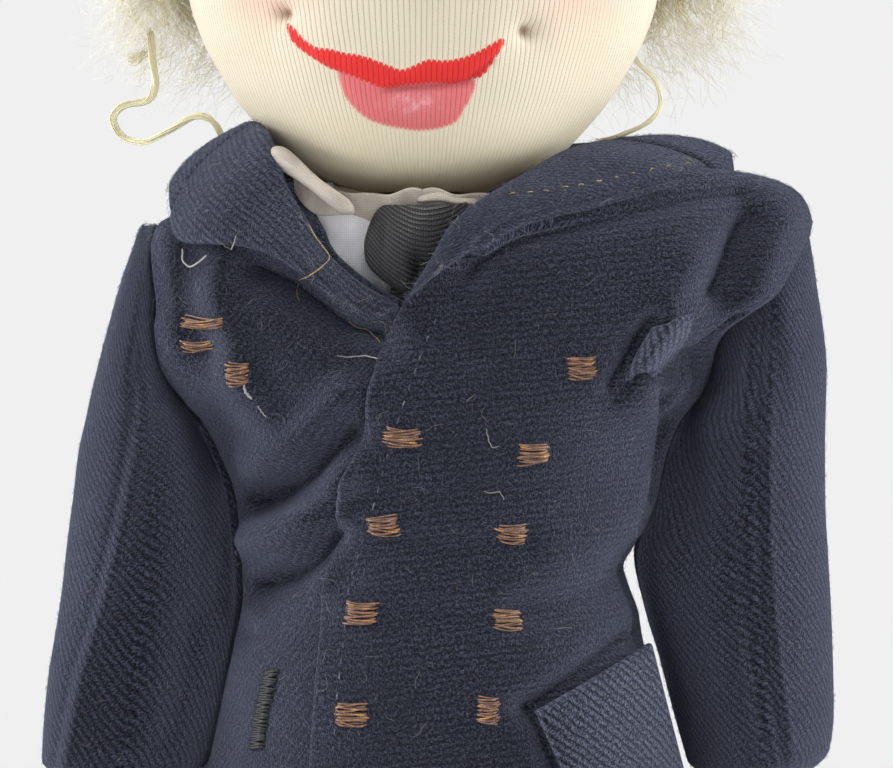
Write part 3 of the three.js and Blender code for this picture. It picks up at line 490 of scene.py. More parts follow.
def wool(name, slant, ribbing, lit=0x575b70):
    """Napped wool twill: a fine speckle of fibres that lie every way, over low broken ribs."""
    made = Finish(name, Roughness=0.95, Specular_IOR_Level=0.06)
    made.set(Sheen_Weight=0.6, Sheen_Roughness=0.35, Sheen_Tint=shade(0xb4bad6))
    vector, across, down = made.place()
    sway = made.times(made.noise(vector, 0.3, 2), 0.9)
    cosine, sine = math.cos(math.radians(slant)), math.sin(math.radians(slant))
    over = made.scaled(across, cosine / TWILL_RIB, made.scaled(down, sine / TWILL_RIB, sway))
    run = made.scaled(down, cosine / TWILL_TICK, made.times(across, -sine / TWILL_TICK))
    half = made.times(made.calc("FLOOR", over), 0.5)
    jitter = made.scaled(made.noise(vector, 1.3, 2), 1.6, half)
    ticks = made.wave(made.calc("ADD", run, jitter))
    rope = made.times(made.wave(over), made.scaled(ticks, 0.45, 0.55))
    grain = made.noise(vector, 2.3, 3, 0.85)
    lengthwise = made.noise(made.stretched(vector, 1.3, 5.2), 1.0, 1, 0.6)
    crosswise = made.noise(made.stretched(vector, 5.2, 1.3), 1.0, 1, 0.6)
    fibres = made.calc("MAXIMUM", lengthwise, crosswise)
    nap = made.scaled(fibres, 0.4, made.times(grain, 0.8))
    height = made.scaled(rope, ribbing, nap)
    middle = 0.63 + 0.54 * ribbing
    tone = made.steps(height, middle - 0.07, middle + 0.16)
    colour = made.mix(tone, shade(0x07080b), shade(lit))
    patches = made.steps(made.noise(vector, 0.05, 3), 0.35, 0.7)
    colour = made.mix(made.times(patches, 0.3), colour, shade(0x1a1b23))
    lint = made.steps(made.noise(made.stretched(vector, 3.6, 1.9), 1.0, 1), 0.73, 0.8)
    colour = made.mix(made.times(lint, 0.6), colour, shade(0x9a9dac))
    made.set(Base_Color=colour)
    made.bump(height, 1.2, 1.0)
    return made.material


def jersey(name, painted=False):
    """Fine cream stockinette: even wales of small V stitches, with the face's paint on it."""
    made = Finish(name, Roughness=0.82, Specular_IOR_Level=0.3)
    made.set(Subsurface_Weight=0.2, Subsurface_Radius=(1.0, 0.85, 0.6), Subsurface_Scale=5 * MM)
    made.set(Sheen_Weight=0.08, Sheen_Roughness=0.4)
    vector, across, down = made.place()
    sway = made.times(made.noise(vector, 0.12, 2), 0.35)
    over = made.scaled(across, 1 / WALE, sway)
    wale = made.wave(over)
    off_middle = made.calc("ABSOLUTE", made.calc("SUBTRACT", made.calc("FRACT", over), 0.5))
    lean = made.times(off_middle, 1.3)
    stitch = made.wave(made.scaled(down, 1 / COURSE, lean))
    loops = made.times(made.steps(wale, 0.0, 0.75), made.scaled(stitch, 0.3, 0.7))
    fuzz = made.noise(vector, 3.2, 3, 0.65)
    height = made.scaled(fuzz, 0.35, loops)
    tone = made.steps(height, 0.05, 0.62)
    colour = made.mix(tone, shade(0xa29272), shade(0xdad1bc))
    stain_and_shade = made.steps(made.noise(vector, 0.045, 3), 0.3, 0.75)
    colour = made.mix(made.times(stain_and_shade, 0.25), colour, shade(0xd2c4a2))
    if painted:
        colour = painted_face(made, colour, tone, height)
    made.set(Base_Color=colour)
    made.bump(height, 0.07, 0.7)
    return made.material


def painted_face(made, colour, tone, height):
    """Paint that lies on the raised stitches, so its edge follows the knit, with painted light and shade on
    the face as well.
    """
    ragged = made.scaled(height, -0.4, 0.3)

    def layer(below, name, light, deep, soft=0.12, strength=1.0):
        away = made.calc("ADD", made.field(name), ragged)
        cover = made.times(made.steps(away, soft, -soft), strength)
        return made.mix(cover, below, made.mix(tone, shade(deep), shade(light)))

    # A paler cream under the chin, strongest at its lowest: painted light, for light thrown up under the
    # chin.
    chin_fill_light = made.times(made.field("chin_fill_light"), 0.6)
    colour = made.mix(chin_fill_light, colour, shade(0xebdfbd))
    blush = made.times(made.field("blush"), made.scaled(tone, -0.5, 1.0))
    colour = made.mix(blush, colour, shade(0xe2566c))
    # The stitched dimples are darkened towards brown: painted shade in their pits.
    stain_and_shade = made.times(made.field("dimple"), 0.75)
    colour = made.mix(stain_and_shade, colour, shade(0x7a5430))
    colour = layer(colour, "lower_lip", 0xd8505e, 0xa8303f, 0.25, 0.85)
    # A paler pink on the lower lip, broken up by noise: a painted highlight.
    wear_and_highlight_patches = made.steps(made.noise(made.place()[0], 0.55, 3, 0.7), 0.45, 0.7)
    pale = made.times(made.field("lip_shine"), made.scaled(wear_and_highlight_patches, 0.6, 0.15))
    colour = made.mix(pale, colour, shade(0xe9b9bf))
    colour = layer(colour, "upper_lip", 0xd92f2c, 0x96151c)
    # Darker red along the parting of the lips: painted shade in the crease between them.
    colour = made.mix(made.times(made.field("lip_parting_shade"), 0.45), colour, shade(0x8c1018))
    colour = layer(colour, "eye_white", 0xf4f1ea, 0xd6cfc2)
    colour = layer(colour, "iris", 0x5d86b0, 0x35587e)
    colour = layer(colour, "pupil", 0x15151b, 0x0b0b10)
    colour = layer(colour, "glint", 0xffffff, 0xe8e8ee)
    return layer(colour, "brow", 0x8a5c32, 0x5c3a1e)


def cotton(name, light, deep, grey, fold_shade_share):
    """Thin shirting, a plain weave, with painted grey shade in its folds."""
    made = Finish(name, Roughness=0.85, Specular_IOR_Level=0.3)
    made.set(Subsurface_Weight=0.1, Subsurface_Radius=(0.6, 0.6, 0.6), Subsurface_Scale=0.8 * MM)
    vector, across, down = made.place()
    warp = made.wave(made.times(across, 1 / SHIRT_WARP))
    weft = made.wave(made.times(down, 1 / SHIRT_WEFT))
    weave = made.scaled(warp, 0.5, made.times(weft, 0.5))
    creases = made.noise(made.stretched(vector, 0.3, 0.16), 1.0, 3)
    colour = made.mix(weave, shade(deep), shade(light))
    # Greyer where the crease noise folds the cloth: painted shade in the folds.
    painted_fold_shade = made.times(made.steps(creases, 0.4, 0.65), fold_shade_share)
    made.set(Base_Color=made.mix(painted_fold_shade, colour, shade(grey)))
    made.bump(made.scaled(creases, 3.0, made.times(weave, 0.3)), 0.2, 0.7)
    return made.material


def ribbed(name):
    """Black grosgrain: fine ribs across the tie, with a silky sheen."""
    made = Finish(name, Roughness=0.5, Specular_IOR_Level=0.5)
    made.set(Sheen_Weight=0.12, Sheen_Roughness=0.35, Sheen_Tint=shade(0xb9b4b8))
    vector, across, down = made.place()
    sway = made.times(made.noise(vector, 0.3, 1), 0.8)
    rib = made.wave(made.scaled(down, 1 / TIE_RIB, sway))
    row = made.calc("FLOOR", made.times(down, 1 / TIE_RIB))
    beads = made.wave(made.scaled(across, 1 / TIE_BEAD, row))
    weave = made.times(made.steps(rib, 0.1, 0.9), made.scaled(beads, 0.35, 0.65))
    made.set(Base_Color=made.mix(weave, shade(0x040405), shade(0x2a282c)))
    made.bump(weave, 0.3, 1.0)
    return made.material


def thread(name, colours, roughness):
    """Twisted sewing thread whose colour changes from strand to strand and along each one."""
    made = Finish(name, Roughness=roughness, Specular_IOR_Level=0.5)
    vector, own, run = made.place()
    twist = made.wave(made.scaled(own, 0.37, made.times(run, 1 / THREAD_TWIST)))
    change = made.noise(made.stretched(vector, 0.9, 0.7), 1.0, 2)
    colour = made.mix(made.steps(change, 0.35, 0.62), shade(colours[0]), shade(colours[1]))
    bright = made.steps(made.noise(made.stretched(vector, 1.7, 0.35), 1.0, 2), 0.54, 0.7)
    colour = made.mix(bright, colour, shade(colours[2]))
    made.set(Base_Color=made.mix(made.scaled(twist, -0.35, 0.35), colour, shade(colours[3])))
    made.bump(twist, 0.05, 0.6)
    return made.material


def mohair(name, light, deep, tip):
    """Mohair strands of slowly changing colour with a soft shine."""
    made = Finish(name, Roughness=0.5, Specular_IOR_Level=0.4)
    made.set(Sheen_Weight=0.3, Sheen_Roughness=0.5)
    vector, _, _ = made.place()
    change = made.noise(made.stretched(vector, 0.61, 0.05), 1.0, 3)
    colour = made.mix(made.steps(change, 0.3, 0.7), shade(light), shade(deep))
    fine = made.noise(made.stretched(vector, 1.9, 0.4), 1.0, 2)
    made.set(Base_Color=made.mix(made.times(fine, 0.5), colour, shade(tip)))
    made.bump(made.noise(made.stretched(vector, 7.0, 0.6), 1.0, 2), 0.05, 0.4)
    return made.material


def leather(name, lit, dark, roughness):
    """Smooth dressed leather with fine creases and dull, scuffed patches."""
    made = Finish(name, Specular_IOR_Level=0.5)
    vector, _, _ = made.place()
    cells = made.node("TexVoronoi", {"Vector": vector, "Scale": 1.4}, feature="DISTANCE_TO_EDGE")
    pebbles = cells.outputs[0]
    scuffs = made.noise(made.stretched(vector, 0.5, 0.12), 1.0, 4, 0.7)
    wear_and_highlight_patches = made.steps(scuffs, 0.5, 0.72)
    made.set(Base_Color=made.mix(wear_and_highlight_patches, shade(dark), shade(lit)))
    made.set(Roughness=made.scaled(wear_and_highlight_patches, 0.3, roughness))
    made.bump(made.scaled(scuffs, 0.6, made.steps(pebbles, 0.0, 0.12)), 0.06, 0.5)
    return made.material


def own_grain(made, stretch, deep, light):
    """Colours a material by grain that is laid out by the piece's own place."""
    place = made.node("TexCoord").outputs["Object"]
    grain = made.noise(made.node("Mapping", {"Vector": place, "Scale": stretch}).outputs[0], 1.0, 3)
    made.set(Base_Color=made.mix(grain, shade(deep), shade(light)))
    return grain


def card(name):
    """Dull grey-brown board, for the joints' discs."""
    made = Finish(name, Roughness=0.9, Specular_IOR_Level=0.5)
    made.bump(own_grain(made, (900, 900, 3200), 0x8a7452, 0xb8a37c), 0.06, 0.6)
    return made.material


def steel(name):
    """Drawn steel, for the joints' pins."""
    made = Finish(name, Metallic=1.0, Specular_IOR_Level=0.5)
    grain = own_grain(made, (300, 2600, 2600), 0x74787c, 0xaeb2b6)
    made.set(Roughness=made.scaled(grain, 0.25, 0.28))
    made.bump(grain, 0.03, 0.4)
    return made.material


# The sleeves a little, the collars more and the pocket flap most get a lighter fibre colour than the
# fronts: painted light, for the brighter light that falls on them.
FRONT_WOOL = wool("navy_twill_front", 84, 0.07)
SIDE_WOOL = wool("navy_twill_side", 38, 0.07)
LEFT_COLLAR_WOOL = wool("navy_twill_left_collar", 60, 0.1, lit=0x646880)
RIGHT_COLLAR_WOOL = wool("navy_twill_right_collar", 8, 0.14, lit=0x666a80)
SLEEVE_WOOL = wool("navy_twill_sleeve", -40, 0.16, lit=0x5a5e74)
FLAP_WOOL = wool("navy_twill_flap", -32, 0.16, lit=0x787e94)

FACE = jersey("stockinette_face", painted=True)
SKIN = jersey("stockinette")
# The last two values give the grey of the painted shade in the folds and how much of it is laid on.
COTTON = cotton("shirt_cotton", 0xe9e9ef, 0xcfced6, 0xbdbac0, 0.35)
# The collar's cotton is a darker beige copy of the shirt's: painted shade, for the shade under the chin.
SHADED_COLLAR_COTTON = cotton("shirt_collar_cotton_in_shade", 0xc6bdb2, 0xa89f94, 0x938a80, 0.5)
TIE = ribbed("tie_grosgrain")
GOLD = thread("metallic_thread", (0x906d58, 0x6c4e3e, 0xbf8f48, 0x291c15), 0.5)
NAVY_THREAD = thread("navy_thread", (0x5c5f72, 0x404354, 0x7c7e88, 0x1a1c26), 0.7)
BLACK_THREAD = thread("black_thread", (0x0d0d10, 0x18181c, 0x2a2a30, 0x050506), 0.55)
LINT = thread("pale_lint", (0x96989c, 0xa8a89f, 0xc4c2b6, 0x6c6c6a), 0.8)
YELLOW_LINT = thread("yellow_lint", (0x85784a, 0xa3955f, 0xbfb17c, 0x5a5030), 0.7)
FUZZ = thread("wool_fuzz", (0x434659, 0x303341, 0x6b7084, 0x191a21), 0.95)
HAIR = mohair("blond_mohair", 0xfffbee, 0xf4ecd2, 0xfffefa)
# A darker, more golden copy of the mohair for the matted scalp, the under layer and the locks beside the
# face: painted shade deep in the hair.
SHADED_HAIR = mohair("blond_mohair_in_shade", 0xe6dbaa, 0xcdbc7e, 0xf2ebcc)
CURL_HAIR = mohair("blond_mohair_curls", 0xe4deb8, 0xd6cea2, 0xf0ebd2)
SHOE = leather("black_shoe_leather", 0x34343a, 0x101013, 0.3)
SOLE = leather("brown_sole_leather", 0x7b5b3b, 0x4c3624, 0.6)
CARD = card("joint_card")
STEEL = steel("pin_steel")


def finish(made, material, slot, body=None, blend=None, replaces=()):
    """Gives a piece its material, hangs it on its body (a blended piece stays where it is) and hides the
    nodes that it stands for. The slot is not used.
    """
    made.data.materials.clear()
    made.data.materials.append(material)
    if blend:
        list(blend[:2])
        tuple(blend[2])
        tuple(blend[3])
        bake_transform(made)
    else:
        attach(made, body)
    if replaces:
        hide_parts(*replaces)


def padded_skin(made, body, node):
    """Gives a stuffed piece its knitted skin."""
    finish(made, SKIN, "stockinette", body=body, replaces=[node])


def front_body(sign):
    """The torso and, further out, an arm, given for a piece on one side of the jacket, with the stretch
    between them.
    """
    arm_name = "left_arm" if sign > 0 else "right_arm"
    start, end = [(sign * across * MM, 0, SHOULDER_UP * MM) for across in (BEND_START, BEND_END)]
    return {"blend": ("torso", arm_name, start, end)}


# Folds of the jacket, each drawn along its line in the photograph.
# Kinds: a ridge stands out, a crease is a sharp valley, a valley is a soft one, and a step
# drops everything on the right of the line's run, within reach of the line.

FOLDS = [
    # The bunched waist on the photograph's left
    ("crease", [(254, 501), (292, 484), (318, 462), (350, 432)], 6.2, 8),
    ("ridge", [(256, 540), (290, 530), (322, 508), (345, 474)], 2.9, 17),
    ("crease", [(258, 585), (292, 574), (312, 560), (335, 534)], 5.2, 7),
    ("ridge", [(256, 464), (290, 446), (320, 420), (345, 392)], 2.4, 18),
    ("ridge", [(262, 618), (290, 605), (320, 585)], 1.2, 14),
    ("valley", [(240, 640), (275, 620), (305, 590)], 0.8, 16),
    # The chest on the photograph's left
    ("ridge", [(222, 262), (214, 300), (226, 345), (240, 385), (268, 420)], 1.9, 20),
    ("valley", [(188, 250), (180, 280), (186, 312), (206, 345)], 2.2, 24),
    ("crease", [(250, 264), (285, 279), (318, 302), (350, 325), (380, 334)], 7.6, 12),
    ("ridge", [(160, 330), (172, 370), (196, 398)], 1.2, 18),
    ("valley", [(300, 300), (330, 330), (352, 372)], 1.0, 18),
    # The chest on the photograph's right
    ("step", [(690, 350), (664, 372), (663, 400), (662, 450), (652, 500)], 3.6, 9),
    ("crease", [(748, 222), (739, 240), (729, 268), (719, 290)], 5.4, 13),
    ("ridge", [(692, 262), (672, 300), (650, 345), (640, 400)], 1.3, 24),
    ("ridge", [(790, 200), (776, 240), (760, 290)], 1.0, 20),
    ("crease", [
        (742, 192), (690, 200), (640, 211), (590, 224), (540, 236), (500, 250), (470, 274),
    ], 2.2, 8),
    ("crease", [(652, 318), (636, 343), (614, 386)], 4.4, 6),
    ("valley", [(470, 262), (462, 300), (474, 350)], 0.8, 22),
    # The waist on the photograph's right
    ("valley", [(628, 560), (600, 588), (560, 606), (520, 612)], 1.2, 18),
    ("ridge", [(640, 500), (610, 540), (570, 565), (520, 578)], 0.8, 24),
    ("valley", [(350, 560), (400, 545), (460, 548), (520, 540)], 0.7, 20),
    ("ridge", [(346, 600), (400, 590), (460, 588)], 0.6, 20),
    ("crease", [(528, 710), (580, 674), (642, 630)], 3.2, 7),
    ("crease", [(530, 708), (543, 738), (560, 780)], 3.2, 7),
]


def folded(grid, folds, wrap=False):
    """The grid with the folds pressed into what faces the camera."""
    outward = slopes_of(grid, wrap)
    places = pixel_of(grid)
    facing = ease(-outward[..., 1], 0.0, 0.45)
    rise = np.zeros(grid.shape[:2])
    for kind, line, height, width in folds:
        smooth = path_through(line, 4 * len(line))
        away, side = to_line(places, smooth)
        if kind == "ridge":
            rise += height * bell(away / width)
        elif kind == "valley":
            rise -= height * bell(away / width)
        elif kind == "crease":
            rise -= height * np.exp(-np.sqrt(away**2 + 4) / width)
        else:
            rise -= height * ease(-side * away, -width, width) * bell(away / (6 * width))
    return grid + unit(outward * [1, 1, 0.3]) * (rise * facing)[..., None]


# Sleeves: rows from the top down with inner and outer reach, half-depth and depth of the middle

LEFT_SLEEVE = [
    (251.0, 47.5, 53.5, 2.5, 0), (249.5, 45.2, 55.6, 6.8, 0), (246.5, 43.4, 56.8, 10.2, 0),
    (242.0, 42.8, 57.6, 12.3, 0), (237.0, 42.6, 58.3, 13.2, 0), (231.0, 42.4, 59.2, 13.7, 0),
    (224.5, 41.8, 59.8, 14.0, 0.5), (220.0, 39.6, 59.8, 14.2, 1.4), (216.0, 36.6, 59.8, 14.4, 2.4),
    (211.0, 34.7, 59.9, 14.4, 3.6), (204.0, 33.2, 60.0, 14.2, 4.0), (196.0, 30.2, 60.3, 13.9, 2.6),
    (188.0, 31.7, 60.6, 13.7, 1.2), (180.5, 33.9, 60.8, 13.5, 0.5), (172.0, 36.1, 60.9, 13.3, 0),
    (166.0, 37.8, 60.2, 12.9, 0), (163.6, 38.6, 58.2, 12.2, 0), (162.6, 39.8, 56.4, 11.2, 0),
]
RIGHT_SLEEVE = [
    (247.0, 44.0, 46.0, 2.0, 0), (246.0, 42.9, 46.6, 5.5, 0), (243.0, 42.4, 47.6, 9.2, 0),
    (238.0, 42.0, 49.3, 11.8, 0), (232.0, 41.8, 51.0, 13.0, 0), (226.0, 41.5, 52.6, 13.7, 0),
    (221.0, 40.0, 53.9, 14.0, 0.6), (217.0, 36.8, 54.9, 14.0, 1.6), (212.0, 34.0, 56.2, 14.0, 3.2),
    (205.0, 31.4, 57.2, 14.0, 4.8), (198.0, 30.6, 58.2, 14.0, 5.4), (190.0, 30.2, 59.1, 13.8, 5.4),
    (182.0, 31.6, 60.3, 13.6, 4.8), (176.5, 32.8, 61.1, 13.5, 4.0), (168.0, 34.6, 61.7, 13.2, 2.6),
    (164.0, 35.6, 61.8, 12.7, 1.8), (162.6, 37.0, 60.6, 11.8, 1.6),
]

# Jacket body: rows from the hem up, each with its height and half-width on both sides.
# The right side's half-widths dip twice at the waist, where the cloth is bunched.

COAT_ROWS = [
    # right height, right width, left height, left width, front depth, back depth
    (150.5, 38.6, 150.5, 40.5, 22.8, 20.5),
    (157.0, 36.6, 157.0, 38.8, 22.6, 20.3),
    (163.2, 34.3, 163.2, 36.9, 22.4, 20.0),
    (170.0, 32.6, 170.0, 35.4, 22.2, 19.8),
    (176.5, 32.4, 176.5, 33.6, 22.0, 19.6),
    (182.0, 31.4, 182.5, 31.5, 21.8, 19.3),
    (186.0, 28.6, 187.5, 30.6, 21.2, 19.0),
    (189.5, 26.8, 191.0, 29.3, 21.0, 18.7),
    (192.2, 26.2, 194.2, 28.4, 21.0, 18.6),
    (195.0, 28.7, 197.0, 29.8, 21.4, 18.6),
    (198.4, 29.9, 200.0, 31.4, 21.8, 18.7),
    (201.5, 29.6, 202.4, 32.2, 21.9, 18.8),
    (203.7, 27.6, 205.0, 33.0, 21.7, 18.9),
    (205.2, 26.9, 207.0, 33.5, 21.7, 19.0),
    (207.2, 28.9, 209.5, 33.9, 22.0, 19.1),
    (210.8, 31.4, 212.6, 34.3, 22.3, 19.2),
    (215.0, 33.4, 216.0, 35.5, 22.5, 19.4),
    (219.0, 36.4, 219.5, 39.6, 22.6, 19.5),
    (222.9, 43.2, 222.5, 42.0, 22.6, 19.6),
    (226.0, 45.6, 226.0, 42.6, 22.5, 19.6),
    (229.0, 48.7, 229.0, 43.3, 22.4, 19.6),
    (232.0, 49.7, 231.0, 48.5, 22.3, 19.6),
    (235.5, 50.1, 233.5, 55.5, 22.0, 19.5),
    (239.2, 50.5, 237.5, 57.8, 21.6, 19.2),
    (243.0, 50.1, 243.0, 58.2, 21.0, 18.8),
    (245.8, 47.0, 247.5, 57.6, 20.2, 18.0),
    (247.8, 42.8, 251.0, 56.0, 18.8, 17.0),
    (249.3, 38.0, 253.6, 52.5, 17.2, 16.0),
    (250.8, 33.0, 255.0, 46.5, 16.5, 16.0),
    (252.5, 27.5, 255.6, 36.0, 16.5, 16.5),
    (253.6, 23.0, 254.8, 24.0, 17.0, 17.5),
]
LAST_COAT_ROW = len(COAT_ROWS) - 1
ARM_TOP_ROW = 20
COAT_LINES = [smooth_line(range(len(COAT_ROWS)), column) for column in zip(*COAT_ROWS)]

# Each panel's width, the spacing of its points, and how far from the middle its cloth hangs plumb
PANEL_WIDTH = 62
FRONT_STEP = 0.6
BACK_STEP = 1.0
PLUMB_LINE = 16.0

# How often the fronts are evened out above the arms, and how deep the cloth sinks at a set-in arm
EVENING_ROUNDS = 70
SET_IN_DEPTH = 1.5

# At the sides the cloth behind the front's outline reaches out to the arms, up to a height.

SIDE_REACH = 0.3
SIDE_TOP = 223.0
LEFT_SIDE_LOW = 198.5


def side_widths(rows):
    """How far a sleeve's inner side is from the middle, at each height."""
    ups, inner = zip(*[row[:2] for row in reversed(rows)])
    return smooth_line(ups, inner)


LEFT_SIDE_WIDTH = side_widths(LEFT_SLEEVE)
RIGHT_SIDE_WIDTH = side_widths(RIGHT_SLEEVE)

# How far round from the front the cloth reaches at each row, in degrees: less where an arm is set in.
LEFT_REACH = smooth_line([0, 19, 20, 21, 22, 23, 24, 25, 30], [90, 90, 78, 62, 60, 63, 76, 90, 90])
RIGHT_REACH = smooth_line(
    [0, 16.5, 17, 18, 19, 20, 21, 24, 25, 26, 30],
    [90, 90, 84, 74, 67, 60, 58, 60, 70, 86, 90],
)


def coat_point(turn, row, stand=0.0):
    """A point of the jacket's outer face, before its folds."""
    right_up, right_across, left_up, left_across, front, back = [line(row) for line in COAT_LINES]
    to_left = ease(np.sin(turn), -0.45, 0.45)
    up = right_up + (left_up - right_up) * to_left
    across = right_across + (left_across - right_across) * to_left
    left_full = LEFT_SIDE_WIDTH(up) + SIDE_REACH - 3 * (1 - ease(up, LEFT_SIDE_LOW - 2, LEFT_SIDE_LOW + 1))
    full = np.where(np.sin(turn) > 0, left_full, RIGHT_SIDE_WIDTH(up) + SIDE_REACH)
    away = np.abs(np.arctan2(np.sin(turn), np.cos(turn)))
    spread = ease(away, 1.15, 1.5) * (1 - ease(up, SIDE_TOP - 3, SIDE_TOP + 3))
    across = np.maximum(across, across + (full - across) * spread)
    deep = back + (front - back) * ease(np.cos(turn), -0.3, 0.3)
    roundness = BODY_ROUNDNESS + 0.45 * ease(row, ARM_TOP_ROW - 4, ARM_TOP_ROW + 2)
    x, y = oval(turn, across + stand, deep + stand, roundness)
    return np.stack([x, y, up + np.zeros_like(x)], axis=-1)


def turn_at(x_line, row, stand):
    """The turn at which a row crosses a line across the front, given as x at each height."""
    turns = np.linspace(-1.3, 1.4, 400)
    points = coat_point(turns, np.full(len(turns), float(row)), stand)
    gap = points[:, 0] - x_line(points[:, 2])
    place = np.argmax(gap > 0) if (gap > 0).any() else len(gap) - 1
    return turns[place]


def front_line(pixels, depth, beyond):
    """A line across the front as x at each height, from its pixels and places beyond them."""
    points = [seen(px, py, depth)[::2] for px, py in pixels] + beyond
    points = sorted(points, key=lambda point: point[1])
    return smooth_line([up for _, up in points], [x for x, _ in points])


OVER_EDGE_PIXELS = [
    (402, 300), (376, 352), (359, 433), (350, 459), (339, 507), (321, 579), (316, 637), (310, 708),
    (306, 766),
]
LEFT_ROLL_PIXELS = [(425, 262), (450, 220), (480, 196), (510, 178)]
RIGHT_ROLL_PIXELS = [(300, 182), (318, 218), (333, 250), (360, 275), (402, 301)]
OVER_EDGE = front_line(OVER_EDGE_PIXELS + LEFT_ROLL_PIXELS, -25.0, [(-20.5, 150.0), (17.0, 255.5)])
UNDER_EDGE_HIDDEN = [(8.0, 150.0), (8.0, 226.0), (3.0, 231.0), (-21.0, 254.0)]
UNDER_EDGE = front_line(RIGHT_ROLL_PIXELS, -24.0, UNDER_EDGE_HIDDEN)


def relaxed(grid, weight):
    """The grid with its rows evened out where the weight is above zero."""
    weight = (weight * 0.5)[1:-1, :, None]
    for _ in range(EVENING_ROUNDS):
        middle = (grid[:-2] + grid[2:]) / 2
        grid[1:-1] = grid[1:-1] * (1 - weight) + middle * weight
    return grid


def side_reach(sign, row_at):
    """The turn where the jacket's cloth ends at the side, for each row."""
    return np.radians((LEFT_REACH if sign > 0 else RIGHT_REACH)(row_at)) * sign


def coat_panel(start, end, columns, row_at, stand=0.0):
    """A panel of the jacket between two turns at each row, lifted off the body near the front."""
    turns = start[:, None] + (end - start)[:, None] * columns[None]
    lift = stand * (1 - ease(np.abs(turns), 0.95, 1.3))
    return coat_point(turns, np.broadcast_to(row_at[:, None], turns.shape), lift)


def front_grid(inner_line, sign, rows, stand):
    """One front of the jacket, from its inner edge round to the side, with its rows running down."""
    row_at = rows * LAST_COAT_ROW
    reach = side_reach(sign, row_at)
    inner = np.array([turn_at(inner_line, row, stand) for row in row_at])
    inner = np.convolve(np.pad(inner, 2, mode="edge"), np.ones(5) / 5, mode="valid")
    start, end = (inner, reach) if sign > 0 else (reach, inner)
    grid = coat_panel(start, end, stations(PANEL_WIDTH, FRONT_STEP, WOOL / 2), row_at, stand)
    across = runs(grid, 1)
    from_edge = across[:, -1:] - across if sign > 0 else across
    set_in = ease(row_at, ARM_TOP_ROW - 1.5, ARM_TOP_ROW)[:, None] * (1 - ease(row_at, 25, 27))[:, None]
    sunk = SET_IN_DEPTH * set_in * (1 - ease(from_edge, 0, 5))
    grid = grid - slopes_of(grid, False) * sunk[..., None]
    near_arm = ease(row_at, 17, 19)[:, None] * (1 - ease(row_at, 23, 25))[:, None]
    return relaxed(grid, near_arm * (1 - ease(from_edge, 9, 17)))


def back_grid(sign, rows):
    """Half of the jacket's back, from its middle round to the side, with its rows running down."""
    row_at = rows * LAST_COAT_ROW
    reach = side_reach(sign, row_at)
    reach = np.where(np.abs(reach) < np.pi / 2, np.pi * sign - reach, reach)
    middle = np.full(len(rows), np.pi * sign)
    start, end = (reach, middle) if sign > 0 else (middle, reach)
    return coat_panel(start, end, stations(PANEL_WIDTH, BACK_STEP, WOOL / 2), row_at)


def coat_rows(step):
    """Shares of the rows, from the top down, that give an even spacing on the chest."""
    fine = np.linspace(0, 1, 2000)
    spine = coat_point(np.full(len(fine), 0.6), fine * LAST_COAT_ROW)
    run = travelled(step_lengths(spine))
    return np.interp(stations(run[-1], step, WOOL / 2) * run[-1], run, fine)[::-1]


def body_weave(grid):
    """Cloth places that hang straight down: across round the body, and height."""
    across = runs(grid, 1)
    line = PLUMB_LINE * np.sign(grid[..., 0].mean())
    order = 1 if grid[0, -1, 0] > grid[0, 0, 0] else -1
    start = [np.interp(line, x[::order], run[::order]) for x, run in zip(grid[..., 0], across)]
    return np.stack([across - np.array(start)[:, None], -grid[..., 2]], axis=-1)


def hung_sheet(grid, wrap=False):
    """Measures a cloth piece's flat size along its threads, and does nothing more with it."""
    if wrap:
        grid = np.concatenate([grid, grid[:, :1]], axis=1)
    across = runs(grid, 1)[:, -1].max() * MM
    down = runs(grid, 0)[-1].max() * MM


def jacket_body():
    rows = coat_rows(FRONT_STEP)
    plain = {
        "right": front_grid(UNDER_EDGE, -1, rows, 0.0),
        "left": front_grid(OVER_EDGE, 1, rows, OVERLAP),
    }
    faces = {side: folded(grid, FOLDS) for side, grid in plain.items()}
    for side, grid in faces.items():
        carried = front_body(SIGNS[side])
        panel = cloth(f"jacket_{side}_front_cloth", grid, WOOL, weave=body_weave(plain[side]))
        material = FRONT_WOOL if side == "left" else SIDE_WOOL
        finish(panel, material, "navy_wool", **carried, replaces=[f"jacket_{side}_front"])
        hung_sheet(grid)
        grid = back_folds(back_grid(SIGNS[side], coat_rows(BACK_STEP)))
        half = cloth(f"jacket_{side}_back_cloth", grid, WOOL, weave=body_weave(grid))
        finish(half, SIDE_WOOL, "navy_wool", **carried, replaces=["jacket_back"])
        hung_sheet(grid)
    return faces


BACK_FOLDS = [
    # height, tilt, rise, width
    (196, 0.25, -1.1, 5), (188, -0.1, 0.8, 6), (206, 0.35, 0.7, 6), (179, 0.2, -0.7, 6),
]


def back_folds(grid):
    """Soft drag folds across the small of the back, and a pressed-in seam down its middle."""
    outward = slopes_of(grid, False)
    x, up = grid[..., 0], grid[..., 2]
    rise = np.zeros(grid.shape[:2])
    for centre, tilt, height, width in BACK_FOLDS:
        rise += height * bell((up - centre - tilt * np.abs(x)) / width) * ease(np.abs(x), 2, 9)
    rise -= 0.9 * bell(x / 1.1)
    away = ease(outward[..., 1], 0.1, 0.6)
    return grid + outward * (rise * away)[..., None]


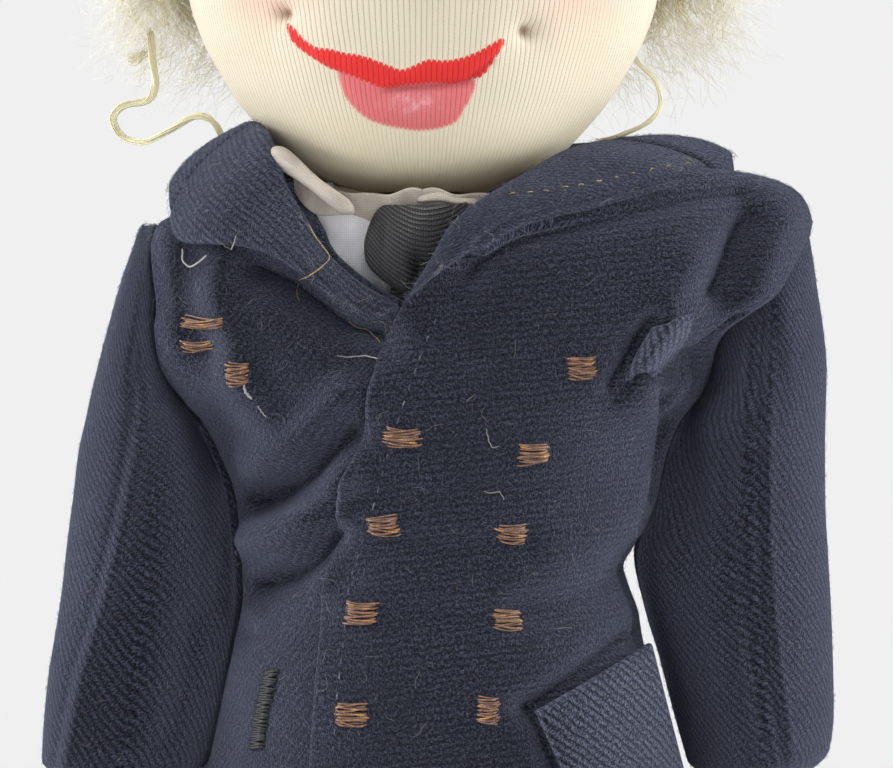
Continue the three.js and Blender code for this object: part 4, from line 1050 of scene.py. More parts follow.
class Surface:
    """The outer face of some pieces, for placing things on it as the camera sees them."""

    def __init__(self, *grids):
        points = []
        faces = []
        for grid in grids:
            index = np.arange(grid.shape[0] * grid.shape[1]).reshape(grid.shape[:2]) + len(points)
            points.extend(grid.reshape(-1, 3).tolist())
            faces.extend(grid_faces(index, False).tolist())
        self.tree = BVHTree.FromPolygons(points, faces)

    def at(self, px, py, stand):
        """The point and outward direction that the camera sees at a pixel, or None."""
        eye = Vector((VIEW_X, -VIEW_DISTANCE, VIEW_UP))
        toward = (Vector(seen(px, py, 0.0)) - eye).normalized()
        place, normal, _, _ = self.tree.ray_cast(eye, toward)
        if place is None:
            return None
        if normal.y > 0:
            normal = -normal
        return np.array(place + normal * stand), np.array(normal)

    def line(self, pixels, count, stand):
        """A path over the surface through pixels; what misses it is carried on."""
        found = [self.at(px, py, stand) for px, py in path_through(pixels, count)]
        known = [place for place in found if place is not None]
        last = known[0][0]
        points = []
        for place in found:
            last = place[0] if place is not None else last
            points.append(last)
        return np.array(points)


LEFT_SLEEVE_FOLDS = [
    ("crease", [(764, 310), (760, 400), (760, 513), (766, 639), (780, 742), (786, 790)], 1.1, 3),
    ("ridge", [(748, 330), (744, 420), (746, 513), (752, 639), (766, 742)], 0.6, 8),
    ("ridge", [(771, 340), (769, 513), (776, 639), (791, 742)], 0.35, 5),
    ("ridge", [(700, 420), (706, 520), (720, 640), (735, 740)], 0.5, 22),
    ("valley", [(678, 400), (690, 460), (690, 560)], 1.2, 18),
]
RIGHT_SLEEVE_FOLDS = [
    ("crease", [(138, 350), (126, 450), (95, 594), (69, 680), (48, 790)], 1.0, 3),
    ("ridge", [(149, 380), (139, 450), (108, 594), (82, 680), (64, 770)], 0.5, 7),
    ("valley", [(214, 430), (228, 500), (222, 600)], 1.6, 24),
    ("ridge", [(170, 450), (160, 560), (140, 680)], 0.5, 24),
    ("valley", [(190, 620), (180, 700), (160, 760)], 0.7, 16),
]


def limb_grid(rows, sign, step, sides):
    """Rings round a limb whose rows run down."""
    columns = np.array(rows, float).T
    ups, _, outer, deep, _ = columns
    keys = travelled(np.hypot(np.hypot(np.diff(ups), np.diff(outer)), np.diff(deep)))
    shares = stations(keys[-1], step, WOOL / 2) * keys[-1]
    up, inside, outside, depth, back = resampled(keys, columns, shares)
    across = (outside - inside) / 2
    x, y = oval(all_round(sides)[None], across[:, None], depth[:, None], LIMB_ROUNDNESS)
    x = x + sign * (outside + inside)[:, None] / 2
    return np.stack([x, y + back[:, None], np.broadcast_to(up[:, None], x.shape)], axis=-1)


# Where each sleeve's front seam runs, and how far the cloth falls back from it towards the body

SEAM_LINES = {
    "left": smooth_line([162, 180, 200, 222, 237, 251], [52.0, 50.2, 48.8, 48.6, 49.6, 50.5]),
    "right": smooth_line([165, 178, 191, 212, 228, 247], [58.0, 56.0, 52.3, 47.6, 45.7, 44.8]),
}
FALL_BACK = {"left": 6.5, "right": 5.0}


def set_back(grid, side):
    """The grid with the front of the arm slanted back from the seam towards the body."""
    inward = np.maximum(SEAM_LINES[side](grid[..., 2]) - np.abs(grid[..., 0]), 0)
    share = ease(-grid[..., 1], -2, 7) * ease(grid[..., 2], 158, 168) * (1 - ease(grid[..., 2], 212, 226))
    back = FALL_BACK[side] * (1 - np.exp(-((inward / 8) ** 1.5))) * share
    return grid + np.array([0, 1, 0]) * back[..., None]


def sleeve(side, rows, folds):
    grid = folded(set_back(limb_grid(rows, SIGNS[side], 0.9, 150), side), folds, wrap=True)
    across = np.broadcast_to(np.linspace(0, 90, grid.shape[1])[None], grid.shape[:2])
    places = np.stack([across, -grid[..., 2]], axis=-1)
    made = cloth(f"{side}_sleeve_cloth", grid, WOOL, wrap=True, weave=places)
    finish(made, SLEEVE_WOOL, "navy_wool", body=f"{side}_arm", replaces=[f"{side}_sleeve"])
    hung_sheet(grid, wrap=True)
    return grid


# Collar and lapels: one leaf on each side, from the roll line to the free edge.
# Photographed places are pixels with a depth; the rest, behind the head, are points.

ROLL_BACK = [(NECK_X, 27.0, 261.5), (18.0, 21.0, 261.5), (27.0, 8.0, 261.0)]
LEFT_ROLL = [
    (640, 137, -3), (600, 140, -9), (557, 151, -15), (510, 178, -21.5), (480, 196, -24),
    (450, 220, -26), (425, 262, -27.5), (404, 299, -28.2),
]
LEFT_FREE_BACK = [(NECK_X, 24.5, 245.5), (24.0, 22.0, 247.5), (42.0, 10.0, 252.5)]
LEFT_FREE = [
    (736, 157, -2), (731, 177, -9), (683, 186, -17), (640, 197, -19.5), (589, 211, -22), (540, 221, -24),
    (505, 233, -25.5), (470, 255, -27), (436, 278, -28), (408, 300, -28.4),
]
RIGHT_ROLL = [
    (256, 119, -5), (264, 121, -11.8), (272, 131, -16.8), (280, 152, -20), (291, 183, -21.6),
    (312, 219, -23), (331, 250, -24.5), (358, 275, -25.5), (398, 300, -26.2),
]
RIGHT_FREE_BACK = [(NECK_X, 24.5, 245.5), (-24.0, 22.0, 247.0), (-40.0, 12.0, 247.0)]
RIGHT_FREE = [
    (168, 190, -2), (169, 215, -8), (172, 238, -14.5), (184, 246, -19.5), (208, 247, -23),
    (239, 249, -25), (265, 255, -26.7), (298, 272, -28.2), (328, 290, -28.6), (345, 304, -28.2),
    (378, 320, -27.4), (400, 306, -26.8),
]

# Where along the leaf the collar ends and the lapel begins
GORGE = 0.56

# How full each leaf is, and how far its fullness stands out and up
LEAF_CROWNS = {"left": (0.13, 0.6, 0.7), "right": (0.16, 0.8, 0.25)}

COLLAR_FOLDS = [
    ("crease", [
        (738, 158), (722, 170), (680, 177), (640, 187), (589, 201), (545, 211), (510, 221), (480, 240),
    ], 1.3, 3),
    ("ridge", [(722, 178), (680, 185), (640, 195), (589, 209), (545, 219), (510, 231), (484, 248)], 0.6, 5),
]


def leaf_lines(side):
    """Roll line and free edge of one side, from the middle of the back to the point of the V."""
    if side == "left":
        back, roll, free_back, free = ROLL_BACK, LEFT_ROLL, LEFT_FREE_BACK, LEFT_FREE
    else:
        back = [(2 * NECK_X - x, y, up) for x, y, up in ROLL_BACK]
        roll, free_back, free = RIGHT_ROLL, RIGHT_FREE_BACK, RIGHT_FREE
    lines = []
    for hidden, shown in ((back, roll), (free_back, free)):
        lines.append(path_through(np.vstack([np.array(hidden, float), seen_path(shown)]), 400))
    return lines


def leaf_grid(side, start, end, step):
    """The crowned leaf between roll line and free edge, from one share of its length to another."""
    roll, free = leaf_lines(side)
    length = step_lengths(free).sum() * (end - start)
    places = (start + (end - start) * stations(length, step, LEAF / 2)) * (len(roll) - 1)
    roll, free = [between(places, np.arange(len(line)), line) for line in (roll, free)]
    across = stations(26, step, LEAF / 2)
    middle = np.array([NECK_X, 0.0, 0.0])
    grid = roll[:, None] + (free - roll)[:, None] * across[None, :, None]
    away = unit((grid - middle) * [1, 1, 0])
    width = np.linalg.norm(free - roll, axis=1)[:, None]
    full, out, lift = LEAF_CROWNS[side]
    crown = np.sin(np.pi * across)[None] ** 0.7 * np.minimum(width * full, 20 * full)
    return grid + away * crown[..., None] * out + np.array([0, 0, 1]) * crown[..., None] * lift


def collar():
    """The collar's two halves and the lapels that run on from them."""
    grids = {}
    for side in SIGNS:
        for part, start, end in (("collar", 0.0, GORGE), ("lapel", GORGE, 1.0)):
            grid = leaf_grid(side, start, end, 0.6)
            if side == "right":
                grid = grid[::-1]
            grid = folded(grid, COLLAR_FOLDS)
            leaf = cloth(f"{side}_{part}_cloth", grid, LEAF)
            node = "jacket_collar" if part == "collar" else f"{side}_lapel"
            material = LEFT_COLLAR_WOOL if side == "left" else RIGHT_COLLAR_WOOL
            finish(leaf, material, "navy_wool", body="torso", replaces=[node])
            hung_sheet(grid)
            grids[side, part] = grid
    return grids


# Head

HEAD_ROWS = [
    # height above the neck, then shares of the face's half-width and half-depth
    (0.15, 0.25, 0.25), (1, 0.345, 0.37), (2.1, 0.43, 0.48), (4.1, 0.522, 0.6), (6.8, 0.6, 0.7),
    (9.9, 0.68, 0.775), (14.5, 0.783, 0.85), (18.5, 0.85, 0.895), (24, 0.93, 0.94), (30.5, 0.985, 0.975),
    (38, 1, 1), (48, 0.965, 0.985), (58, 0.85, 0.88), (66, 0.665, 0.69), (71, 0.46, 0.48), (74, 0.25, 0.26),
    (75, 0.06, 0.07),
]
FACE_HALF_WIDTH = 36.8
FACE_HALF_DEPTH = 34.0
UPPER_LIP_PIXELS = [
    (286, 24), (293, 27), (305, 39), (318, 47), (332, 49), (345, 53), (359, 55), (374, 60), (389, 66),
    (401, 70), (414, 66), (428, 60), (442, 61), (458, 59), (475, 53), (490, 45), (503, 38), (503, 44),
    (497, 54), (491, 64), (481, 76), (468, 80), (456, 83), (432, 83), (409, 85), (386, 87), (366, 80),
    (348, 73), (330, 67), (316, 58), (303, 49), (292, 38),
]
LOWER_LIP_PIXELS = [
    (338, 68), (341, 84), (347, 98), (357, 110), (369, 119), (386, 125), (402, 128), (418, 130), (438, 128),
    (456, 121), (464, 108), (471, 96), (474, 80), (440, 80), (386, 84),
]
DIMPLE_PIXELS = [(284, 15), (527, 32)]
STITCH_RIDGE_PIXELS = [(318, 52), (334, 61), (352, 70), (368, 78), (386, 86)]
PARTING_PIXELS = [(386, 89), (432, 86), (466, 82), (492, 60)]
LIP_SHINE_PIXEL = (412, 101)
EYE_UP = 45.0
EYE_APART = 14.5


def head_grid():
    ups, across, deep = np.array(HEAD_ROWS, float).T
    across, deep = across * FACE_HALF_WIDTH, deep * FACE_HALF_DEPTH
    keys = travelled(np.hypot(np.diff(ups), np.diff(across)))
    up, wide, long = resampled(keys, (ups, across, deep), np.linspace(0, keys[-1], 230))
    x, y = oval(all_round(420)[None], wide[:, None], long[:, None], HEAD_ROUNDNESS)
    return np.stack([x + NECK_X, y, np.broadcast_to(NECK_UP + up[:, None], x.shape)], axis=-1)[::-1]


def eye_fields(x, up, hidden):
    """The eyes' and brows' paint, as distances to its edges in millimetres."""
    apart = np.abs(x) - EYE_APART
    high = up - EYE_UP
    iris_away = np.hypot(apart, high - 0.3)
    return {
        "eye_white": (np.hypot(apart / 5.4, high / 3.3) - 1) * 3.3 + hidden,
        "iris": iris_away - 2.7 + hidden,
        "pupil": iris_away - 1.3 + hidden,
        "glint": np.hypot(x - np.sign(x) * EYE_APART + 0.9, high - 1.4) - 0.45 + hidden,
        "brow": np.abs(high - 7.6 + (apart / 6) ** 2) - 0.6 + 4 * ease(np.abs(apart), 5.5, 7.5) + hidden,
    }


def head():
    """The stuffed face: nose, cheeks, eye hollows, stitched dimples and lips, with its painted fields."""
    grid = head_grid()
    outward = slopes_of(grid, True)
    x, up = grid[..., 0] - NECK_X, grid[..., 2] - NECK_UP
    front = grid[..., 1] < 0
    places = np.where(front[..., None], pixel_of(grid), 1e4)
    scale = PIXELS_PER_MM * 1.06
    rise = 4.3 * bell(x / 3.9, (up - 33.2) / 4.2) * front
    rise += 0.9 * bell((np.abs(x) - 17) / 9, (up - 27) / 8) * front
    rise -= 0.8 * bell((np.abs(x) - EYE_APART) / 7, (up - EYE_UP) / 5) * front
    # The dimples' mask, for painted shade in the stitched pits.
    dimple = np.zeros(grid.shape[:2])
    for px, py in DIMPLE_PIXELS:
        away = np.hypot(places[..., 0] - px, places[..., 1] - py) / scale
        rise -= 1.5 * bell(away / 1.3) + 0.7 * bell(away / 4.0)
        dimple += bell(away / 0.85)
    lips = {}
    for name, outline in (("upper_lip", UPPER_LIP_PIXELS), ("lower_lip", LOWER_LIP_PIXELS)):
        curve = path_through(outline + outline[:1], 6 * len(outline))
        lips[name] = inside_outline(places, curve) / scale
    rise += 0.45 * ease(-lips["upper_lip"], -0.4, 1.0) + 0.25 * ease(-lips["lower_lip"], -0.4, 2.0)
    ridge, _ = to_line(places, path_through(STITCH_RIDGE_PIXELS, 20))
    rise += 0.5 * bell(ridge / 4.5)
    parting, _ = to_line(places, PARTING_PIXELS)
    rise -= 0.5 * bell(parting / 3.5)
    grid = grid + outward * rise[..., None]
    shine_x, shine_y = LIP_SHINE_PIXEL
    fields = {
        **lips,
        "dimple": dimple,
        "lip_shine": bell((places[..., 0] - shine_x) / 26, (places[..., 1] - shine_y) / 11),
        # Painted shade along the parting of the lips.
        "lip_parting_shade": bell(parting / 3.0),
        "blush": 0.55 * bell((np.abs(x) - 24) / 7, (up - 30) / 6.5) * front,
        # Where the painted light under the chin lies: full at the bottom of the head, gone by 16 mm up.
        "chin_fill_light": 0.9 * ease(up, 16, 3),
        **eye_fields(x, up, np.where(front, 0, 99.0)),
    }
    narrowing = (np.abs(grid[..., 0] - NECK_X).max(axis=1, keepdims=True) / FACE_HALF_WIDTH) ** 0.6
    wales = FACE_HALF_WIDTH * np.arcsin(np.clip(x / narrowing / (FACE_HALF_WIDTH + 0.3), -1, 1))
    made = stuffed("stuffed_head", grid, np.stack([wales, runs(grid, 0)], axis=-1), fields)
    finish(made, FACE, "stockinette", body="head", replaces=["head"])


# Body inside the clothes: a stuffed torso, with the seat and the shirt over it

SEAT_ROWS = [
    # height, half-width, half-depth
    (145.2, 22.0, 13.5), (145.9, 27.0, 16.6), (148.2, 30.0, 18.2), (156.0, 30.7, 18.9), (166.0, 29.8, 18.8),
    (176.0, 27.6, 17.9), (182.0, 26.0, 17.2), (186.0, 25.2, 16.8),
]
CROTCH_HALF_WIDTH = 7.9
CROTCH_RADIUS = 12.2
SHIRT_STAND = -2.9
TORSO_STAND = -3.9
CLEAR_OF_ARMS = 37.8
NECKLINE = smooth_line([0.0, 0.5, 0.9, 1.3, 2.2, 3.15], [247.9, 248.2, 251.0, 254.5, 251.5, 250.5])


def under_coat(turn, row, stand):
    """A point inside the jacket, kept clear of the arms, and lower in front of the neck."""
    away = np.abs((turn + np.pi) % (2 * np.pi) - np.pi)
    above = coat_point(turn, row)
    beside = ease(np.abs(above[..., 0]), 18, 24) * (1 - ease(above[..., 2], 244, 250))
    low_front = np.maximum(1 - ease(above[..., 2], 231, 243), beside) * (1 - ease(away, 0.9, 1.5))
    point = coat_point(turn, row, stand - 2.6 * ease(away, 0.3, 0.95) - 6.0 * low_front)
    point[..., 2] = np.minimum(point[..., 2], NECKLINE(away) + (stand - SHIRT_STAND))
    limit = CLEAR_OF_ARMS + stand * 0.3
    x = point[..., 0]
    over = np.maximum(np.abs(x) - limit, 0)
    point[..., 0] = np.sign(x) * (np.minimum(np.abs(x), limit) + 1.2 * (1 - np.exp(-over / 3)))
    return point


def body_rings(ups, across, deep):
    x, y = oval(all_round(160)[None], across[:, None], deep[:, None], BODY_ROUNDNESS)
    return np.stack([x, y, np.broadcast_to(ups[:, None], x.shape)], axis=-1)


def crotch(name, radius, half_width):
    """The tab between the legs that carries both hip discs."""
    arc = np.linspace(-0.08, math.pi + 0.08, 60)
    low, high = HIP_UP + 3, HIP_UP + 15
    around = [(radius * math.cos(turn), HIP_UP - radius * math.sin(turn)) for turn in arc]
    around += [(-radius, up) for up in np.linspace(low, high, 8)]
    around += [(y, high) for y in np.linspace(-radius, radius, 12)[1:-1]]
    around += [(radius, up) for up in np.linspace(high, low, 8)]
    around = np.array(around)
    middle = np.array([0, HIP_UP + 1])
    rings = []
    for x, size in ((-1, 0.93), (-0.9, 0.985), (0, 1), (0.9, 0.985), (1, 0.93)):
        ring = middle + (around - middle) * size
        rings.append(np.column_stack([np.full(len(ring), x * half_width), ring]))
    return stuffed(name, np.array(rings))


def torso():
    """The stuffed torso down to the hips, and the tab between the legs."""
    turn, row = np.meshgrid(all_round(160), np.linspace(2, LAST_COAT_ROW - 0.4, 90))
    grid = under_coat(turn, row, TORSO_STAND)
    ups, across, deep = np.array(SEAT_ROWS[:5], float).T
    hips = body_rings(ups + 1, across - 1.8, deep - 1.8)
    grid = np.concatenate([hips, grid[grid[:, 0, 2] > hips[-1, 0, 2] + 6]])[::-1]
    padded_skin(stuffed("stuffed_torso", grid), "torso", "torso")
    padded_skin(crotch("stuffed_crotch", CROTCH_RADIUS - 1.3, CROTCH_HALF_WIDTH - 0.4), "torso", "torso")


def trouser_seat():
    columns = np.array(SEAT_ROWS, float).T
    run = travelled(np.hypot(np.diff(columns[0]), np.diff(columns[1])))
    grid = body_rings(*resampled(run, columns, np.linspace(0, run[-1], 60)))[::-1]
    waves = 0.5 * np.sin(grid[..., 0] * 0.55 + grid[..., 2] * 0.22)
    grid = grid + slopes_of(grid, True) * (waves * bell((grid[..., 2] - 160) / 11))[..., None]
    seat = stuffed("trouser_seat_cloth", grid)
    tab = crotch("trouser_crotch_cloth", CROTCH_RADIUS, CROTCH_HALF_WIDTH)
    for made in (seat, tab):
        finish(made, SIDE_WOOL, "navy_wool", body="torso", replaces=["trousers_seat"])


def shirt_body():
    """The shirt's front and back, which meet at the sides."""
    for name, middle in (("front", 0.0), ("back", math.pi)):
        turn, row = np.meshgrid(middle + np.linspace(-1.6, 1.6, 150), np.linspace(LAST_COAT_ROW, 6.2, 120))
        grid = under_coat(turn, row, SHIRT_STAND)
        panel = cloth(f"shirt_{name}", grid, SHIRT_CLOTH, weave=body_weave(grid))
        finish(panel, COTTON, "shirt_cotton", body="torso", replaces=["shirt_body"])
        hung_sheet(grid)


def jacket_armholes():
    """The jacket's cloth inside each armhole, which shows when an arm is raised."""
    for side, sign in SIGNS.items():
        turns = sign * np.radians(np.linspace(50, 130, 60))[::sign]
        turn, row = np.meshgrid(turns, np.linspace(26.6, 14, 60))
        grid = under_coat(turn, row, SHIRT_STAND + 0.7)
        grid[..., 0] += 0.5 * sign
        panel = cloth(f"jacket_{side}_armhole_cloth", grid, SHIRT_CLOTH)
        nodes = [f"jacket_{side}_front", "jacket_back"]
        finish(panel, SIDE_WOOL, "navy_wool", body="torso", replaces=nodes)
        hung_sheet(grid)


# Shirt collar and tie: pixels, each with a depth

ROLL_PIXELS = [
    (271, 150, -18.6), (279, 156, -19.4), (291, 165, -20.2), (306, 177, -21.0), (321, 189, -21.6),
    (337, 201, -22), (354, 213, -22),
]
COLLAR_EDGE_PIXELS = {
    # The upper line of each folded strip, then its lower line
    "right_shirt_collar_fold": (
        [(292, 172, -16.8), (307, 184, -18.4), (324, 197, -19.6), (345, 209, -20.6)],
        [(294, 193, -17.4), (303, 206, -18.6), (316, 215, -19.6), (346, 216, -20.8)],
    ),
    "left_shirt_collar_edge": (
        [(408, 196, -17.2), (424, 194, -19.4), (440, 191, -19.8), (456, 196, -19.4), (478, 198, -18.4)],
        [(408, 203, -17.6), (424, 203, -20.0), (440, 202, -20.4), (456, 205, -20.0), (478, 206, -19.2)],
    ),
}


def tube(name, path, radii):
    """A soft round roll along a path, closed by rounded ends."""
    along = unit(np.gradient(path, axis=0))
    side = unit(np.cross(along, [0, 0.2, 1.0]))
    other = np.cross(along, side)
    turn = -all_round(20)[:, None]
    ring = np.cos(turn) * side[:, None] + np.sin(turn) * other[:, None]
    return stuffed(name, path[:, None] + radii[:, None, None] * ring)


def round_ends(steps, share):
    place = np.linspace(0, 1, steps)
    edge = np.clip(np.minimum(place, 1 - place) / share, 0, 1)
    return np.sqrt(np.maximum(1 - (1 - edge) ** 2, 0.02))


BAND_TOP = smooth_line([0.0, 0.3, 0.6, 0.9, 1.3, 3.2], [251.3, 251.2, 251.0, 252.4, 255.6, 257.5])


def shirt_collar():
    """The collar's two bands round the neck, and the rolled and folded edges that show in front."""
    roll = path_through(seen_path(ROLL_PIXELS), 50)
    swell = 1 + 0.12 * np.sin(np.linspace(0, 9, 50))
    made = tube("right_shirt_collar_roll", roll, np.linspace(1.5, 1.05, 50) * round_ends(50, 0.14) * swell)
    finish(made, SHADED_COLLAR_COTTON, "shirt_cotton", body="torso", replaces=["right_shirt_collar"])
    for side, sign in SIGNS.items():
        turn, rise = np.meshgrid(np.linspace(-0.06, math.pi - 0.02, 120), np.linspace(1, 0, 26))
        wave = 0.3 * np.sin(turn * 11 + 1) + 0.2 * np.sin(turn * 19)
        up = BAND_TOP(turn) - (5.5 + 4.9 * ease(turn, 1.6, 2.4)) * (1 - rise) + wave * rise
        radius = 18.6 + 0.9 * rise + 0.6 * np.sin(turn * 13) * rise
        grid = np.stack([NECK_X + sign * radius * np.sin(turn), -radius * np.cos(turn), up], axis=-1)
        band = cloth(f"{side}_shirt_collar_band", grid[:, ::sign], SHIRT_CLOTH)
        finish(band, SHADED_COLLAR_COTTON, "shirt_cotton", body="torso", replaces=[f"{side}_shirt_collar"])
        hung_sheet(grid)
    ripple = 0.2 * np.sin(np.linspace(0, 8, 50))[None, :, None]
    share = np.linspace(0, 1, 14)[:, None, None]
    for name, (top, low) in COLLAR_EDGE_PIXELS.items():
        top, low = path_through(seen_path(top), 50), path_through(seen_path(low), 50)
        grid = top[None] * (1 - share) + low[None] * share
        grid = grid - np.array([0, 1, 0]) * (0.35 * np.sin(np.pi * share) + ripple)
        node = name.rsplit("_", 1)[0]
        finish(cloth(name, grid, 0.8), SHADED_COLLAR_COTTON, "shirt_cotton", body="torso", replaces=[node])


KNOT_LEFT_PIXELS = [
    (383, 203), (376, 209), (371, 217), (366, 230), (363, 243), (365, 262), (376, 276), (390, 286),
    (402, 294),
]
KNOT_RIGHT_PIXELS = [
    (470, 202), (468, 212), (460, 226), (452, 240), (444, 252), (436, 264), (428, 276), (420, 286),
    (412, 294),
]
KNOT_BACK = -20.2


def tie_knot():
    left = path_through(KNOT_LEFT_PIXELS, 70)
    right = path_through(KNOT_RIGHT_PIXELS, 70)
    share = stations(13, 0.35, 0.9)[None, :, None]
    px, py = np.moveaxis(left[:, None] * (1 - share) + right[:, None] * share, -1, 0)
    lengthwise = np.sin(np.pi * (0.1 + 0.85 * np.linspace(0, 1, 70)))[:, None] ** 0.6
    depth = KNOT_BACK - 3.4 * (np.sin(np.pi * share[..., 0]) ** 0.6 * lengthwise)
    depth += 1.5 * bell((px - 418) / 9, (py - 268) / 15)
    depth += 0.5 * bell((px - 384) / 5, (py - 236) / 22)
    grid = np.stack(seen(px, py, depth), axis=-1)
    from_left = px - 400
    down = (py - 200) / 6.7 + 0.0016 * from_left**2 - 0.09 * from_left
    knot = cloth("tie_knot_cloth", grid, 1.4, weave=np.stack([from_left / 6.7, down], axis=-1))
    finish(knot, TIE, "tie_ribbing", body="torso", replaces=["tie_knot"])
    hung_sheet(grid)


def tie_blade():
    """The part of the tie that goes down inside the jacket."""
    across, up = np.meshgrid(np.linspace(-1, 1, 24), np.linspace(240, 205, 40))
    x = -4 + np.interp(up, [205, 240], [5.4, 3.2]) * across
    grid = np.stack([x, -20.9 + 0.5 * across**2, up], axis=-1)
    blade = cloth("tie_blade_cloth", grid, 0.8)
    finish(blade, TIE, "tie_ribbing", body="torso", replaces=["tie_blade"])
    hung_sheet(grid)


# Arms with mitten hands: rows as for the sleeves

ARM_GAP = WOOL + 2.2
HAND_X = 49.4
HAND_ROWS = [
    (160.0, 41.4, 57.6, 8.8, 0), (154.0, 42.6, 57.0, 7.2, 0), (149.0, 41.6, 57.4, 7.3, 0),
    (145.0, 42.8, 56.6, 6.2, 0), (142.0, 45.0, 54.2, 4.2, 0), (141.0, 47.0, 52.2, 2.2, 0),
]
FINGER_SEAMS = (-2.6, 0.2, 3.0)
THUMB = [(44.2, -4.5, 157), (43.6, -7.4, 152), (44.4, -8.8, 146.5)]


def arm(side, rows):
    sign = SIGNS[side]
    inside = []
    for up, inner, outer, deep, middle in rows:
        if up > SLEEVE_HEM + 4 and outer - inner > 2.4 * ARM_GAP:
            inside.append((up, inner + ARM_GAP, outer - ARM_GAP, max(deep - ARM_GAP, 1.2), middle))
    grid = set_back(limb_grid(inside + HAND_ROWS, sign, 0.7, 120), side)
    seams = np.zeros(grid.shape[:2])
    for seam in FINGER_SEAMS:
        seams += bell((grid[..., 0] - sign * HAND_X - seam) / 0.55)
    drop = 0.75 * seams * ease(grid[..., 2], 151, 147)
    grid = grid - slopes_of(grid, True) * drop[..., None]
    padded_skin(stuffed(f"{side}_stuffed_arm", grid), f"{side}_arm", f"{side}_arm")
    tip = path_through(np.array(THUMB) * [sign, 1, 1], 30)
    padded_skin(tube(f"{side}_stuffed_thumb", tip, 2.3 * round_ends(30, 0.3)), f"{side}_arm", f"{side}_arm")


# Legs, trousers and shoes: the first two with rows as for the sleeves

LEG_ROWS = [
    (143.2, 16.7, 24.4, 1.1, 0), (142.0, 13.7, 27.4, 4, 0), (139.4, 11.4, 29.5, 8, 0),
    (132, 10.9, 30.2, 11, 0), (120, 10.9, 30.2, 11, 0), (98, 11.2, 30.0, 10.6, 0),
    (71, 12.2, 28.8, 9.2, 0), (47, 13.2, 27.6, 8, 0), (27, 15, 25.8, 6, 0),
    (12, 14.9, 25.8, 6.2, 0), (8, 16.2, 24.3, 4.6, 0),
]
TROUSER_ROWS = [
    (145.2, 20.1, 20.9, 0.3, 0), (144.8, 15.6, 25.4, 2.4, 0), (143.4, 12.4, 28.6, 5.6, 0),
    (140.4, 10.0, 31.0, 9.6, 0), (132, 9.5, 31.6, 12.6, 0), (120, 9.5, 31.6, 12.6, 0),
    (98, 9.8, 31.4, 12.3, 0), (71, 10.6, 30.6, 11.8, 0), (47, 10.4, 31.0, 12.2, 0),
    (30, 10.0, 31.5, 12.6, 0), (22, 9.8, 31.7, 12.7, 0), (21.2, 10.0, 31.5, 12.5, 0),
]

# height, tilt and rise of each
TROUSER_CREASES = [(118, 0.3, 0.8), (74, -0.25, 0.9), (66, 0.2, 0.8), (34, 0.15, 0.7), (28, -0.2, 0.6)]
FOOT_X = 20.55
SHOE_ROWS = [
    # height, half-width, toe, heel
    (3.4, 8.8, -26.2, 12.8), (4.2, 9.5, -27.0, 13.5), (7.5, 9.5, -26.8, 13.6), (11.0, 9.0, -24.6, 13.4),
    (13.6, 8.5, -19.5, 13.1), (15.6, 8.2, -14.4, 12.9), (17.5, 7.9, -10.8, 12.7), (19.4, 7.6, -9.6, 12.4),
    (19.9, 7.1, -9.0, 11.9), (19.2, 6.5, -8.2, 11.2), (15.0, 6.4, -8.0, 11.0),
]


def trouser_leg(side):
    sign = SIGNS[side]
    grid = limb_grid(TROUSER_ROWS, sign, 1.0, 120)
    outward = slopes_of(grid, True)
    rise = np.zeros(grid.shape[:2])
    for up, tilt, height in TROUSER_CREASES:
        place = grid[..., 2] - up - tilt * grid[..., 1]
        rise += height * (bell(place / 2.6) - 0.8 * bell((place - 3.6) / 1.9))
    press = bell(grid[..., 0] - sign * FOOT_X) * ease(grid[..., 2], 128, 112)
    low = ease(grid[..., 2], 21, 40) * ease(grid[..., 2], 133, 120)
    grid = grid + outward * (rise * low * 0.8 + 0.7 * press)[..., None]
    made = cloth(f"{side}_trouser_cloth", grid, 1.1, wrap=True)
    finish(made, SIDE_WOOL, "navy_wool", body=f"{side}_leg", replaces=[f"{side}_trouser_leg"])
    hung_sheet(grid, wrap=True)


def leg(side):
    grid = limb_grid(LEG_ROWS, SIGNS[side], 1.2, 90)
    padded_skin(stuffed(f"{side}_stuffed_leg", grid), f"{side}_leg", f"{side}_leg")


def shoe_ring(up, half_width, toe, heel, sign):
    """One level of a shoe, narrower towards the heel."""
    turn = all_round(120)
    along = (1 - np.cos(turn)) / 2
    width = half_width * np.sin(turn) * (1 - 0.16 * along)
    return np.stack([sign * FOOT_X + width, toe + (heel - toe) * along, np.full(len(turn), up)], axis=-1)


def shoe_laces(sign):
    """Three crossed laces, each two short paths over the shoe's tongue."""
    laces = []
    for y in (-16.5, -13.8, -11.2):
        for lean in (-1, 1):
            up = np.interp(y, [-27, -24.6, -19.5, -14.4, -10.8], [7.5, 11, 13.6, 15.6, 17.5])
            ends = [(-3.2, -lean * 0.9, up - 0.5), (0, 0, up + 0.55), (3.2, lean * 0.9, up - 0.5)]
            laces.append(path_through([(sign * FOOT_X + x, y + shift, at) for x, shift, at in ends], 12))
    return laces


